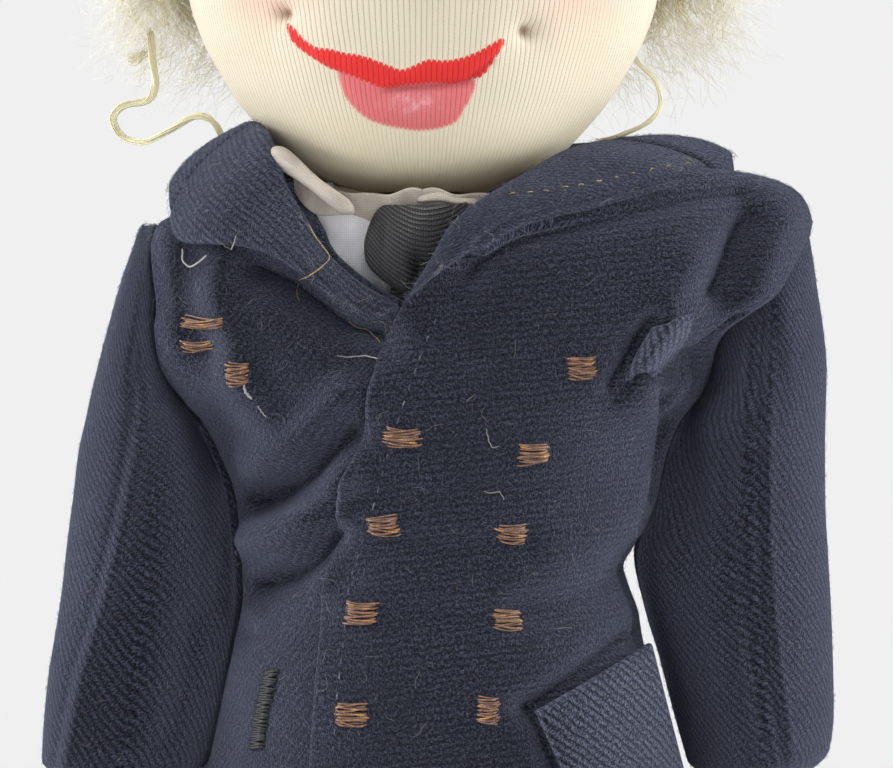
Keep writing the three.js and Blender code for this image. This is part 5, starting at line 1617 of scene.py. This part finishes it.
def shoe(side):
    sign = SIGNS[side]
    columns = np.array(SHOE_ROWS).T
    run = travelled(np.hypot(np.diff(columns[0]), np.diff(columns[2])))
    rows = zip(*resampled(run, columns, np.linspace(0, run[-1], 90)))
    grid = np.array([shoe_ring(*row, sign) for row in rows])[::-1]
    outward = slopes_of(grid, True)
    cap = bell((grid[..., 1] + 18.5) / 0.35) * ease(grid[..., 2], 4, 6)
    vamp = bell((grid[..., 1] + 4.5 - 0.12 * (grid[..., 0] - sign * FOOT_X) ** 2) / 0.4)
    grid = grid + outward * (0.35 * cap + 0.3 * vamp * ease(grid[..., 2], 6, 9))[..., None]
    body = f"{side}_leg"
    upper = stuffed(f"{side}_shoe_upper", grid)
    finish(upper, SHOE, "shoe_leather", body=body, replaces=[f"{side}_shoe"])
    laces = strands(f"{side}_shoe_laces", shoe_laces(sign), 0.42, 6)
    finish(laces, BLACK_THREAD, "black_thread", body=body)
    rings = [(3.0, 0.5), (2.65, 0.0), (0.35, 0.0), (0.0, 0.6)]
    grid = np.array([shoe_ring(up, 9.6 - inset, -28.2 + inset, 14.4 - inset, sign) for up, inset in rings])
    sole = stuffed(f"{side}_shoe_sole", grid)
    finish(sole, SOLE, "sole_leather", body=body, replaces=[f"{side}_sole"])


# Pocket flap, breast welt and the stitched slit: pixels, with a depth for the flap's corners

FLAP_CORNERS = [(535, 711, -25.6), (655, 642, -15.0), (692, 790, -13.0), (570, 790, -26.6)]
WELT_LEFT_PIXELS = [(650, 326), (640, 340), (630, 358), (620, 382)]
WELT_RIGHT_PIXELS = [(697, 316), (692, 333), (682, 350), (658, 373)]
SLIT_PIXELS = [(272, 672), (266, 695), (261, 720), (257, 748)]
SLIT_STITCH_RISES = (-0.15, 0.5, 0.42, 0.5, -0.15)


def pocket_flap():
    """A bulging patch between four corners, given clockwise from the top left."""
    top_left, top_right, low_right, low_left = seen_path(FLAP_CORNERS)
    across = stations(18, 0.5, 0.9)[None, :, None]
    down = stations(20, 0.5, 0.9)[:, None, None]
    flat = (top_left * (1 - across) + top_right * across) * (1 - down)
    flat = flat + (low_left * (1 - across) + low_right * across) * down
    away = unit(np.cross(low_left - top_left, top_right - top_left))
    swell = np.sin(np.pi * across) ** 0.8 * (0.5 + 0.5 * down) * 2.8
    grid = flat + away * swell * np.sign(-away[1])
    flap = cloth("left_pocket_flap_cloth", grid, 2.4)
    finish(flap, FLAP_WOOL, "navy_wool", body="torso", replaces=["left_pocket_flap"])
    hung_sheet(grid)


def breast_welt(coat):
    """A puffed strip that is laid on the coat, evened out and lifted off it."""
    across = stations(8.5, 0.35, 0.8)
    columns = np.rint(across * 59).astype(int)
    left, right = path_through(WELT_LEFT_PIXELS, 30), path_through(WELT_RIGHT_PIXELS, 30)
    grid = np.array([coat.line(ends, 60, 0.0)[columns] for ends in zip(left, right)])
    for _ in range(30):
        grid[1:-1, 1:-1] = (grid[:-2, 1:-1] + grid[2:, 1:-1] + grid[1:-1, :-2] + grid[1:-1, 2:]) / 4
    crosswise = np.sin(np.pi * (0.14 + 0.84 * across)) ** 0.8
    lengthwise = np.sin(np.pi * (0.06 + 0.88 * np.linspace(0, 1, 30)))[:, None] ** 0.6
    grid = grid + unit(np.array([0.1, -1, 0.15])) * (0.7 + 2.7 * (crosswise * lengthwise))[..., None]
    welt = cloth("breast_pocket_welt_cloth", grid, 2.0)
    finish(welt, FLAP_WOOL, "navy_wool", body="torso", replaces=["breast_pocket_welt"])
    hung_sheet(grid)


def pocket_stitching(coat):
    paths = []
    for px, py in path_through(SLIT_PIXELS, 34):
        lean = chance.uniform(-2.2, 2.2)
        half = 8.2 + chance.uniform(-1.2, 1.2)
        points = []
        for share, rise in zip(np.linspace(-1, 1, 5), SLIT_STITCH_RISES):
            points.append(coat.at(px + share * half, py - share * lean, rise)[0])
        paths.append(path_through(points, 9))
    made = strands("right_pocket_stitches", paths, 0.24, 5)
    finish(made, BLACK_THREAD, "black_thread", body="torso", replaces=["right_pocket_stitching"])


# Buttons and badge bars, worked in strands of metallic thread

BLOCK_PIXELS = {
    # middle of each block of threads, then its width and height
    "right_button_1": (237, 373, 24, 22), "left_button_1": (582, 367, 30, 22),
    "right_button_2": (402, 437, 40, 18), "left_button_2": (534, 453, 32, 20),
    "right_button_3": (383, 525, 34, 18), "left_button_3": (512, 533, 30, 19),
    "right_button_4": (361, 612, 34, 22), "left_button_4": (508, 619, 30, 20),
    "right_button_5": (351, 714, 34, 22), "left_button_5": (488, 710, 22, 26),
    "breast_bar_1": (202, 322, 46, 11), "breast_bar_2": (196, 345, 32, 11),
}


def thread_block(name, coat, carried):
    """Two layers of slightly sagging threads, worked across the block."""
    px, py, width, height = BLOCK_PIXELS[name]
    count = max(int(height / 1.95), 4)
    paths = []
    for rows, stand, narrowed in ((count, 0.3, 1), (count - 2, 0.62, 0.92)):
        for number in range(rows):
            across = chance.uniform(0.88, 1.06) * width / 2 * narrowed
            middle = py + (number - (rows - 1) / 2) * 2.05 + chance.normal(0, 0.4)
            lean = chance.normal(0, 1.5)
            sag = chance.uniform(0.0, 2.2) + (1.2 if number == rows - 1 else 0)
            shift = chance.normal(0, 1.3)
            points = []
            for share in np.linspace(-1, 1, 7):
                at = coat.at(px + shift + share * across, middle + lean * share + sag * (1 - share**2), 0.0)
                rise = stand * (1 - abs(share) ** 6) - 0.25 * abs(share) ** 6
                points.append(at[0] + at[1] * rise)
            paths.append(path_through(points, 14))
    made = strands(name + "_threads", paths, 0.15, 5)
    finish(made, GOLD, "metallic_thread", **carried, replaces=[name])


def thread_blocks(coat):
    """All but three blocks are sewn on the jacket's left front, which lies on top."""
    for name in BLOCK_PIXELS:
        under = name.startswith("breast") or name == "right_button_1"
        thread_block(name, coat, front_body(-1 if under else 1))


# Fuzz: short fibres that stand a little off the wool, and longer pale ones that have settled on it,
# with the ranges of their length and of their lift off the cloth, and their radius

FUZZ_FIBRE = {"length": (0.25, 0.8), "lift": (0.08, 0.3), "radius": 0.017}
LINT_FIBRES = {
    "front": {"length": (0.5, 3.2), "lift": (0.15, 0.6), "radius": 0.016},
    "sleeve": {"length": (0.4, 2.4), "lift": (0.1, 0.5), "radius": 0.015},
    "collar": {"length": (0.5, 3), "lift": (0.15, 0.5), "radius": 0.015},
}


def fibres(grid, count, length, lift, wrap):
    """Paths of short curled fibres that stand up from a grid and lie down again."""
    rows, columns = grid.shape[:2]
    margin = 0 if wrap else 2
    row = chance.integers(2, rows - 2, count)
    column = chance.integers(margin, columns - margin, count)
    here = grid[row, column]
    root = here + (grid[(row + 1) % rows, column] - here) * chance.uniform(0, 1, (count, 1))
    root = root + (grid[row, (column + 1) % columns] - here) * chance.uniform(0, 1, (count, 1))
    normal = slopes_of(grid, wrap)[row, column]
    side = unit(np.cross(normal, chance.normal(size=(count, 3))))
    other = np.cross(normal, side)
    long = chance.uniform(*length, count)[:, None, None]
    high = chance.uniform(*lift, count)[:, None, None]
    bend = chance.normal(0, 0.45, count)[:, None, None]
    place = np.linspace(0, 1, 8)[None, :, None]
    turns = place * chance.uniform(2, 7, (count, 1, 1)) + chance.uniform(0, 6, (count, 1, 1))
    sideways = bend * long * place**2 + np.sin(turns) * 0.17 * long
    height = high * np.sin(np.pi * (0.02 + 0.8 * place)) - 0.05
    path = root[:, None] + side[:, None] * long * place + other[:, None] * sideways
    return path + normal[:, None] * height


def fuzz(name, grid, count, material, carried, wrap, length, lift, radius):
    paths = fibres(grid, count, length, lift, wrap)
    made = strands(name, paths, radius * chance.uniform(0.7, 1.4, count), 3)
    finish(made, material, "navy_wool", **carried)


def fuzz_and_lint(name, grid, fuzz_count, lint_count, lint, carried, wrap=False):
    fuzz(f"{name}_fuzz", grid, fuzz_count, FUZZ, carried, wrap, **FUZZ_FIBRE)
    fuzz(f"{name}_lint", grid, lint_count, LINT, carried, wrap, **LINT_FIBRES[lint])


def coat_fuzz(faces, leaves, sleeves):
    for side, sign in SIGNS.items():
        fuzz_and_lint(f"{side}_front", faces[side], 7000, 210, "front", front_body(sign))
        arm_body = {"body": f"{side}_arm"}
        fuzz_and_lint(f"{side}_sleeve", sleeves[side], 7000, 200, "sleeve", arm_body, wrap=True)
        for part in ("collar", "lapel"):
            fuzz_and_lint(f"{side}_{part}", leaves[side, part], 2600, 60, "collar", {"body": "torso"})


# Hand stitches that show on the cloth, and the loose threads that hang on it, placed by pixels

EDGE_STITCHES = [
    (436, 318), (420, 358), (405, 400), (392, 440), (378, 490), (364, 538), (350, 585), (344, 640),
    (337, 700), (333, 762),
]
RIGHT_COLLAR_STITCHES = [(188, 214), (215, 211), (245, 211), (276, 216)]
LEFT_COLLAR_STITCHES = [(508, 194), (540, 191), (567, 187), (605, 180), (642, 171), (672, 166), (700, 163)]
STITCH_PITCH_PIXELS = 17.0
STITCH_RISES = (-0.25, 0.12, 0.2, 0.12, -0.25)


def hand_stitches(name, surface, pixels, radius, material, carried, share):
    """A row of short running stitches along a line in the photograph; a stitch that misses is left out."""
    count = int(step_lengths(np.array(pixels, float)).sum() / STITCH_PITCH_PIXELS)
    dense = path_through(pixels, count * 20 + 1)
    paths = []
    for number in range(count):
        first = number * 20 + int(chance.uniform(0, 3))
        last = first + max(int(20 * share * chance.uniform(0.7, 1.2)), 4)
        points = []
        for (px, py), rise in zip(dense[np.linspace(first, last, 5).astype(int)], STITCH_RISES):
            at = surface.at(px, py + chance.normal(0, 0.5), 0.0)
            if at is not None:
                points.append(at[0] + at[1] * rise)
        if len(points) == 5:
            paths.append(path_through(points, 9))
    finish(strands(name, paths, radius, 5), material, "black_thread", **carried)


def loose_thread(name, surface, pixels, stand, radius, material, carried):
    """A thread that touches the cloth at chosen pixels and runs smoothly between them."""
    touches = [surface.at(px, py, stand)[0] for px, py in pixels]
    path = path_through(touches, 50)
    wander = 0.05 * np.sin(np.linspace(0, 23, 50))[:, None] * np.array([1, 0, 0.6])
    finish(strands(name, [path + wander], radius, 6), material, "black_thread", **carried)


# Threads whose first pixel lies left of this one hang on the jacket's right front
FRONT_EDGE_PIXEL = 400

LOOSE_THREADS = [
    # name, material, radius, stand off the cloth, surface, pixels
    ("pale_loop", LINT, 0.15, 1.0, "coat", [(183, 250), (185, 262), (193, 268), (203, 265), (212, 257)]),
    ("pale_end", LINT, 0.18, 0.4, "coat", [(244, 384), (246, 391), (252, 398)]),
    ("pale_hair", LINT, 0.08, 0.3, "coat", [(258, 405), (262, 411), (267, 417)]),
    ("grey_end", LINT, 0.08, 0.5, "coat", [(336, 357), (350, 358), (364, 357), (378, 360)]),
    ("yellow_tail", YELLOW_LINT, 0.07, 0.6, "coat", [
        (335, 318), (345, 322), (354, 330), (366, 331), (374, 340), (380, 346),
    ]),
    ("fine_curl", LINT, 0.045, 0.4, "coat", [(486, 428), (488, 438), (492, 447), (499, 446)]),
    ("fine_bend", LINT, 0.045, 0.4, "coat", [(483, 491), (491, 493), (499, 492), (504, 500)]),
    ("collar_tick", LINT, 0.08, 0.5, "collar", [(237, 236), (234, 246), (229, 250), (222, 243)]),
    ("yellow_thread", YELLOW_LINT, 0.08, 0.8, "collar", [
        (306, 226), (312, 238), (321, 250), (328, 260), (321, 269), (311, 276), (303, 276), (296, 286),
        (294, 297), (297, 304),
    ]),
]


def stitches_and_threads(coat, faces, leaves):
    right_leaf = Surface(leaves["right", "collar"], leaves["right", "lapel"])
    left_leaf = Surface(leaves["left", "collar"], leaves["left", "lapel"])
    right_side = Surface(faces["right"], leaves["right", "collar"], leaves["right", "lapel"])
    torso_body = {"body": "torso"}
    for name, surface, pixels, radius, material, carried, share in (
        ("front_edge_stitches", coat, EDGE_STITCHES, 0.11, NAVY_THREAD, front_body(1), 0.5),
        ("right_collar_stitches", right_leaf, RIGHT_COLLAR_STITCHES, 0.1, NAVY_THREAD, torso_body, 0.5),
        ("left_collar_stitches", left_leaf, LEFT_COLLAR_STITCHES, 0.09, YELLOW_LINT, torso_body, 0.35),
    ):
        hand_stitches(name, surface, pixels, radius, material, carried, share)
    for name, material, radius, stand, where, pixels in LOOSE_THREADS:
        if where == "coat":
            carried = front_body(-1 if pixels[0][0] < FRONT_EDGE_PIXEL else 1)
            loose_thread(name, coat, pixels, stand, radius, material, carried)
        else:
            loose_thread(name, right_side, pixels, stand, radius, material, torso_body)


# Hair

HAIR_ROWS = [
    # height above the neck, half-width, half-depth, how far back the middle lies
    (12, 35.0, 26.5, 6), (18, 43.5, 32.0, 4.6), (27, 47.4, 35.0, 2.6), (38, 48.2, 35.8, 2.2),
    (50, 46.4, 34.8, 2.2), (61, 41.5, 31.6, 2.2), (71, 32.8, 25.4, 2), (77.5, 21.0, 17.0, 2),
    (80.5, 8.0, 7.0, 2), (81.2, 1.0, 1.0, 2),
]

# The height above the neck where the locks and the scalp end, by the turn from the front
HAIR_END = smooth_line([0, 0.6, 1.05, 1.35, 1.6, 2.2, 3.15], [60, 57, 48, 36, 27, 23, 19])
SCALP_END = smooth_line(
    [-3.15, -2.2, -1.5, -1.1, -0.6, 0, 0.6, 1.1, 1.5, 2.2, 3.15],
    [34, 34, 36, 50, 62, 66, 62, 50, 36, 34, 34],
)
CROWN_UP = 80.5
LOCKS_TOP = 80.8
HAIR_LOWEST = 12.2
HAIR_UPS, *HAIR_COLUMNS = zip(*HAIR_ROWS)
HAIR_LINES = [smooth_line(HAIR_UPS, column) for column in HAIR_COLUMNS]


def hair_point(turn, up, inset):
    across, deep, back = [line(up) for line in HAIR_LINES]
    x, y = oval(turn, np.maximum(across - inset, 0.2), np.maximum(deep - inset, 0.2), HAIR_ROUNDNESS)
    return np.stack([x + NECK_X, y + back, NECK_UP + up + np.zeros_like(x)], axis=-1)


def wig_piece(made, material):
    finish(made, material, "mohair", body="head", replaces=["wig"])


def scalp():
    """The closely matted mohair next to the head."""
    turns, shares = np.meshgrid(all_round(240), np.linspace(0, 1, 90))
    ends = SCALP_END(np.where(turns > np.pi, turns - 2 * np.pi, turns))
    grid = hair_point(turns, CROWN_UP - (CROWN_UP - ends) * shares, 5.2)
    x, y, up = np.moveaxis(grid, -1, 0)
    swirl = np.sin(x * 0.5) * np.sin(up * 0.37 + 1) + np.sin(y * 0.6 + up * 0.3)
    ropes = np.sin(turns * 46 + 3 * np.sin(up * 0.14) + np.sin(turns * 5) * 2)
    grid = grid + slopes_of(grid, True) * (0.5 * swirl + 0.45 * ropes)[..., None]
    made = cloth("scalp_mohair", grid, 2.4, wrap=True, weave=np.stack([turns * 40, runs(grid, 0)], axis=-1))
    # The darker mohair: painted shade on the matted scalp.
    wig_piece(made, SHADED_HAIR)


LOCK_STRANDS = 22
LOCK_STEPS = 28


def lock_spine(turn, start, drop):
    """A path from near the crown down over the hair to its hairline."""
    end = float(HAIR_END(abs((turn + np.pi) % (2 * np.pi) - np.pi))) - drop
    share = start + (1 - start) * np.linspace(0, 1, LOCK_STEPS)
    ups = LOCKS_TOP - (LOCKS_TOP - end) * (0.15 * share + 0.85 * share**1.25)
    wander = turn + 0.14 * np.sin(share * 5 + chance.uniform(0, 6)) * share
    spine = hair_point(wander, np.maximum(ups, HAIR_LOWEST), 2.0 + 1.6 * (1 - share))
    spine[:, 2] = NECK_UP + ups
    along = unit(np.gradient(spine, axis=0))
    out = unit(spine - np.array([NECK_X, 2.0, NECK_UP + 34]))
    side = unit(np.cross(along, out))
    return spine, side, np.cross(side, along), travelled(step_lengths(spine)), share


def lock(turn, swing, pitch, thickness, drop):
    """The strands of one curly lock, spreading and ending unevenly towards its tip."""
    spine, side, out, run, share = lock_spine(turn, chance.uniform(0.0, 0.6), drop)
    phase = chance.uniform(0, 2 * np.pi)
    swing = swing * ease(share, 0.1, 0.8)
    paths = []
    for _ in range(LOCK_STRANDS):
        radius = thickness * np.sqrt(chance.uniform(0, 1))
        angle = chance.uniform(0, 2 * np.pi)
        own = phase + chance.normal(0, 0.35) + 2 * np.pi * run / pitch * chance.uniform(0.92, 1.08)
        spread = 0.5 + 1.3 * ease(share, 0.4, 1.0)
        sideways = swing * np.cos(own) + radius * spread * np.cos(angle + 2 * share)
        outwards = 0.7 * swing * np.sin(own) + radius * 0.8 * spread * np.sin(angle + 2 * share)
        path = spine + side * sideways[:, None] + out * outwards[:, None]
        keep = np.linspace(0, chance.uniform(0.8, 1.0), LOCK_STEPS) * (LOCK_STEPS - 1)
        paths.append(between(keep, np.arange(LOCK_STEPS), path))
    return paths


def tapered(count, steps, thick, thin):
    """The radius of some hairs along their length, each a little thicker or thinner than the others."""
    return np.linspace(thick, thin, steps)[None] * chance.uniform(0.8, 1.2, (count, 1))


def locks(name, turns, material):
    paths = []
    for turn in turns:
        shifted = turn + chance.normal(0, 0.03)
        swing = chance.uniform(1.2, 3.2)
        pitch = chance.uniform(7, 13)
        thickness = chance.uniform(1.0, 2.2)
        paths += lock(shifted, swing, pitch, thickness, chance.uniform(-5, 3))
    wig_piece(strands(name, paths, tapered(len(paths), LOCK_STEPS, 0.13, 0.05), 3), material)


def wisps(name, count):
    """Single loose hairs round the lower edge of the hair."""
    paths = []
    for _ in range(count):
        turn = chance.choice([-1, 1]) * chance.uniform(1.3, 2.6)
        up = float(HAIR_END(abs(turn))) + chance.uniform(-2, 9)
        start = hair_point(np.array([turn]), np.array([max(up, 13)]), chance.uniform(0, 6))[0]
        outwards = np.sin(turn) * chance.uniform(0.1, 1.0)
        away = unit(np.array([outwards, chance.normal(0, 0.3), -chance.uniform(0.2, 1.0)]))
        side = unit(np.cross(away, chance.normal(size=3)))
        other = np.cross(away, side)
        length = chance.uniform(4, 11)
        place = np.linspace(0, 1, 16)
        turns = chance.uniform(2, 9) * place + chance.uniform(0, 6)
        coil = chance.uniform(0.5, 1.8) * place**0.6
        paths.append(
            start + np.outer(place * length, away) + np.outer(coil * np.cos(turns), side)
            + np.outer(coil * np.sin(turns), other)
        )
    wig_piece(strands(name, paths, tapered(len(paths), 16, 0.045, 0.022), 3), HAIR)


# The curl on each side of the doll, and a small tuft: pixels, each with a depth

RIGHT_CURL = [
    (150, 30, 8), (152, 60, 6), (155, 85, 5), (148, 100, 4), (122, 107, 3), (113, 120, 2), (124, 138, 2),
    (146, 142, 1), (170, 130, 0), (195, 116, -1), (212, 120, -1), (222, 137, -1),
]
LEFT_CURL = [
    (632, 50, 6), (640, 64, 5), (655, 80, 4), (660, 105, 3), (650, 121, 2), (622, 135, 2), (598, 141, 3),
]
TUFT = (135, 58, 9.0)


def curl(name, places, count, spread):
    """One long loose curl, made of strands that twist round each other."""
    spine = path_through(seen_path(places), 60)
    paths = []
    for number in range(count):
        angle = 2 * np.pi * number / count + np.linspace(0, 7, 60)
        radius = chance.uniform(0.3, 1.0) * spread
        offset = np.stack([np.cos(angle), 0.8 * np.sin(angle * 1.1), np.sin(angle)], axis=-1)
        paths.append(spine + radius * offset)
    wig_piece(strands(name, paths, tapered(count, 60, 0.17, 0.11), 4), CURL_HAIR)


def tuft(name, place):
    """A small brush of hairs that crosses one place."""
    px, py, depth = place
    paths = []
    for _ in range(26):
        start = np.array([px + 10, py - 4], float) + chance.normal(0, 2.2, 2)
        end = np.array([px - 8, py + 2], float) + chance.normal(0, 3.4, 2)
        middle = (start + end) / 2 + chance.normal(0, 2, 2)
        places = [(*start, depth), (*middle, depth - 0.8), (*end, depth + chance.normal(0, 0.6))]
        paths.append(path_through(seen_path(places), 10))
    wig_piece(strands(name, paths, tapered(len(paths), 10, 0.14, 0.06), 4), CURL_HAIR)


def hair():
    scalp()
    around = np.linspace(-np.pi, np.pi, 91)[:-1]
    beside_face = (np.abs(around) > 0.85) & (np.abs(around) < 1.5)
    # The under layer and the locks beside the face take the darker mohair: painted shade.
    locks("mohair_locks_under", around, SHADED_HAIR)
    locks("mohair_locks_over", around[~beside_face] + 0.035, HAIR)
    locks("mohair_locks_beside_face", around[beside_face] + 0.035, SHADED_HAIR)
    wisps("mohair_wisps", 1700)
    curl("mohair_curl_right", RIGHT_CURL, 13, 0.55)
    curl("mohair_curl_left", LEFT_CURL, 9, 0.4)
    tuft("mohair_tuft_right", TUFT)


# Scene


def camera():
    """A camera that looks level from where the photograph was taken."""
    data = bpy.data.cameras.new("camera")
    data.sensor_width = 36
    data.lens = data.sensor_width * PIXELS_PER_MM * VIEW_DISTANCE / PHOTO_WIDTH
    data.clip_start = 0.05
    data.clip_end = 20
    made = bpy.data.objects.new("camera", data)
    made.location = (VIEW_X * MM, -VIEW_DISTANCE * MM, VIEW_UP * MM)
    made.rotation_euler = (math.pi / 2, 0, 0)
    bpy.context.scene.collection.objects.link(made)
    bpy.context.scene.camera = made


def lamp(name, place, target, size, watts):
    """A round soft lamp, placed in metres."""
    data = bpy.data.lights.new(name, "AREA")
    data.shape = "DISK"
    data.size = size
    data.energy = watts
    made = bpy.data.objects.new(name, data)
    made.location = place
    made.rotation_euler = (Vector(target) - Vector(place)).to_track_quat("-Z", "Y").to_euler()
    bpy.context.scene.collection.objects.link(made)


def studio():
    """Four lamps and an even, pale surround, which the camera sees as plain pale grey."""
    middle = (0, 0, 0.21)
    lamp("key", (-1.25, -0.16, 0.75), middle, 0.8, 21)
    lamp("side", (1.25, 0.0, 0.6), middle, 0.8, 20)
    lamp("front", (0.2, -1.4, 0.1), middle, 1.2, 6.5)
    lamp("over", (0.0, -0.6, 1.05), (0, -0.35, 0), 0.6, 4)
    world = bpy.data.worlds.new("studio")
    world.use_nodes = True
    bpy.context.scene.world = world
    tree = world.node_tree
    ambient = tree.nodes["Background"]
    ambient.inputs["Color"].default_value = (0.93, 0.96, 1.0, 1)
    ambient.inputs["Strength"].default_value = 0.24
    plain = tree.nodes.new("ShaderNodeBackground")
    plain.inputs["Color"].default_value = shade(0xf0f0f0)
    plain.inputs["Strength"].default_value = 1.0
    path = tree.nodes.new("ShaderNodeLightPath")
    shown = path.outputs["Is Camera Ray"]
    for kind in ("Is Transmission Ray", "Is Glossy Ray"):
        either = tree.nodes.new("ShaderNodeMath")
        either.operation = "MAXIMUM"
        tree.links.new(shown, either.inputs[0])
        tree.links.new(path.outputs[kind], either.inputs[1])
        shown = either.outputs[0]
    mixed = tree.nodes.new("ShaderNodeMixShader")
    tree.links.new(shown, mixed.inputs[0])
    tree.links.new(ambient.outputs[0], mixed.inputs[1])
    tree.links.new(plain.outputs[0], mixed.inputs[2])
    tree.links.new(mixed.outputs[0], tree.nodes["World Output"].inputs["Surface"])
    bpy.context.scene.view_settings.view_transform = "Standard"


def pale_floor():
    half = 1400.0
    corners = [(-half, -half, 0), (half, -half, 0), (half, half, 0), (-half, half, 0)]
    floor = piece("floor", corners, [[0, 1, 2, 3]])
    made = Finish("pale_floor", Roughness=0.9)
    place = made.node("TexCoord").outputs["Object"]
    made.set(Base_Color=made.mix(made.noise(place, 2.0, 2), shade(0xe6e7e9), shade(0xf0f1f2)))
    floor.data.materials.append(made.material)


def carried_over():
    """Card and steel for the joint discs and pins, which keep their own shapes."""
    for name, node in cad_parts.items():
        for place in node.material_slots:
            if name.endswith("_disc"):
                place.material = CARD
            elif name.endswith("_pin"):
                place.material = STEEL


def main():
    camera()
    carried_over()
    studio()
    pale_floor()
    faces = jacket_body()
    coat = Surface(faces["left"], faces["right"])
    sleeves = {
        "left": sleeve("left", LEFT_SLEEVE, LEFT_SLEEVE_FOLDS),
        "right": sleeve("right", RIGHT_SLEEVE, RIGHT_SLEEVE_FOLDS),
    }
    leaves = collar()
    coat_fuzz(faces, leaves, sleeves)
    head()
    hair()
    torso()
    trouser_seat()
    shirt_body()
    jacket_armholes()
    shirt_collar()
    tie_knot()
    tie_blade()
    pocket_flap()
    breast_welt(coat)
    pocket_stitching(coat)
    thread_blocks(coat)
    stitches_and_threads(coat, faces, leaves)
    for side, rows in (("left", LEFT_SLEEVE), ("right", RIGHT_SLEEVE)):
        arm(side, rows)
        leg(side)
        trouser_leg(side)
        shoe(side)


main()
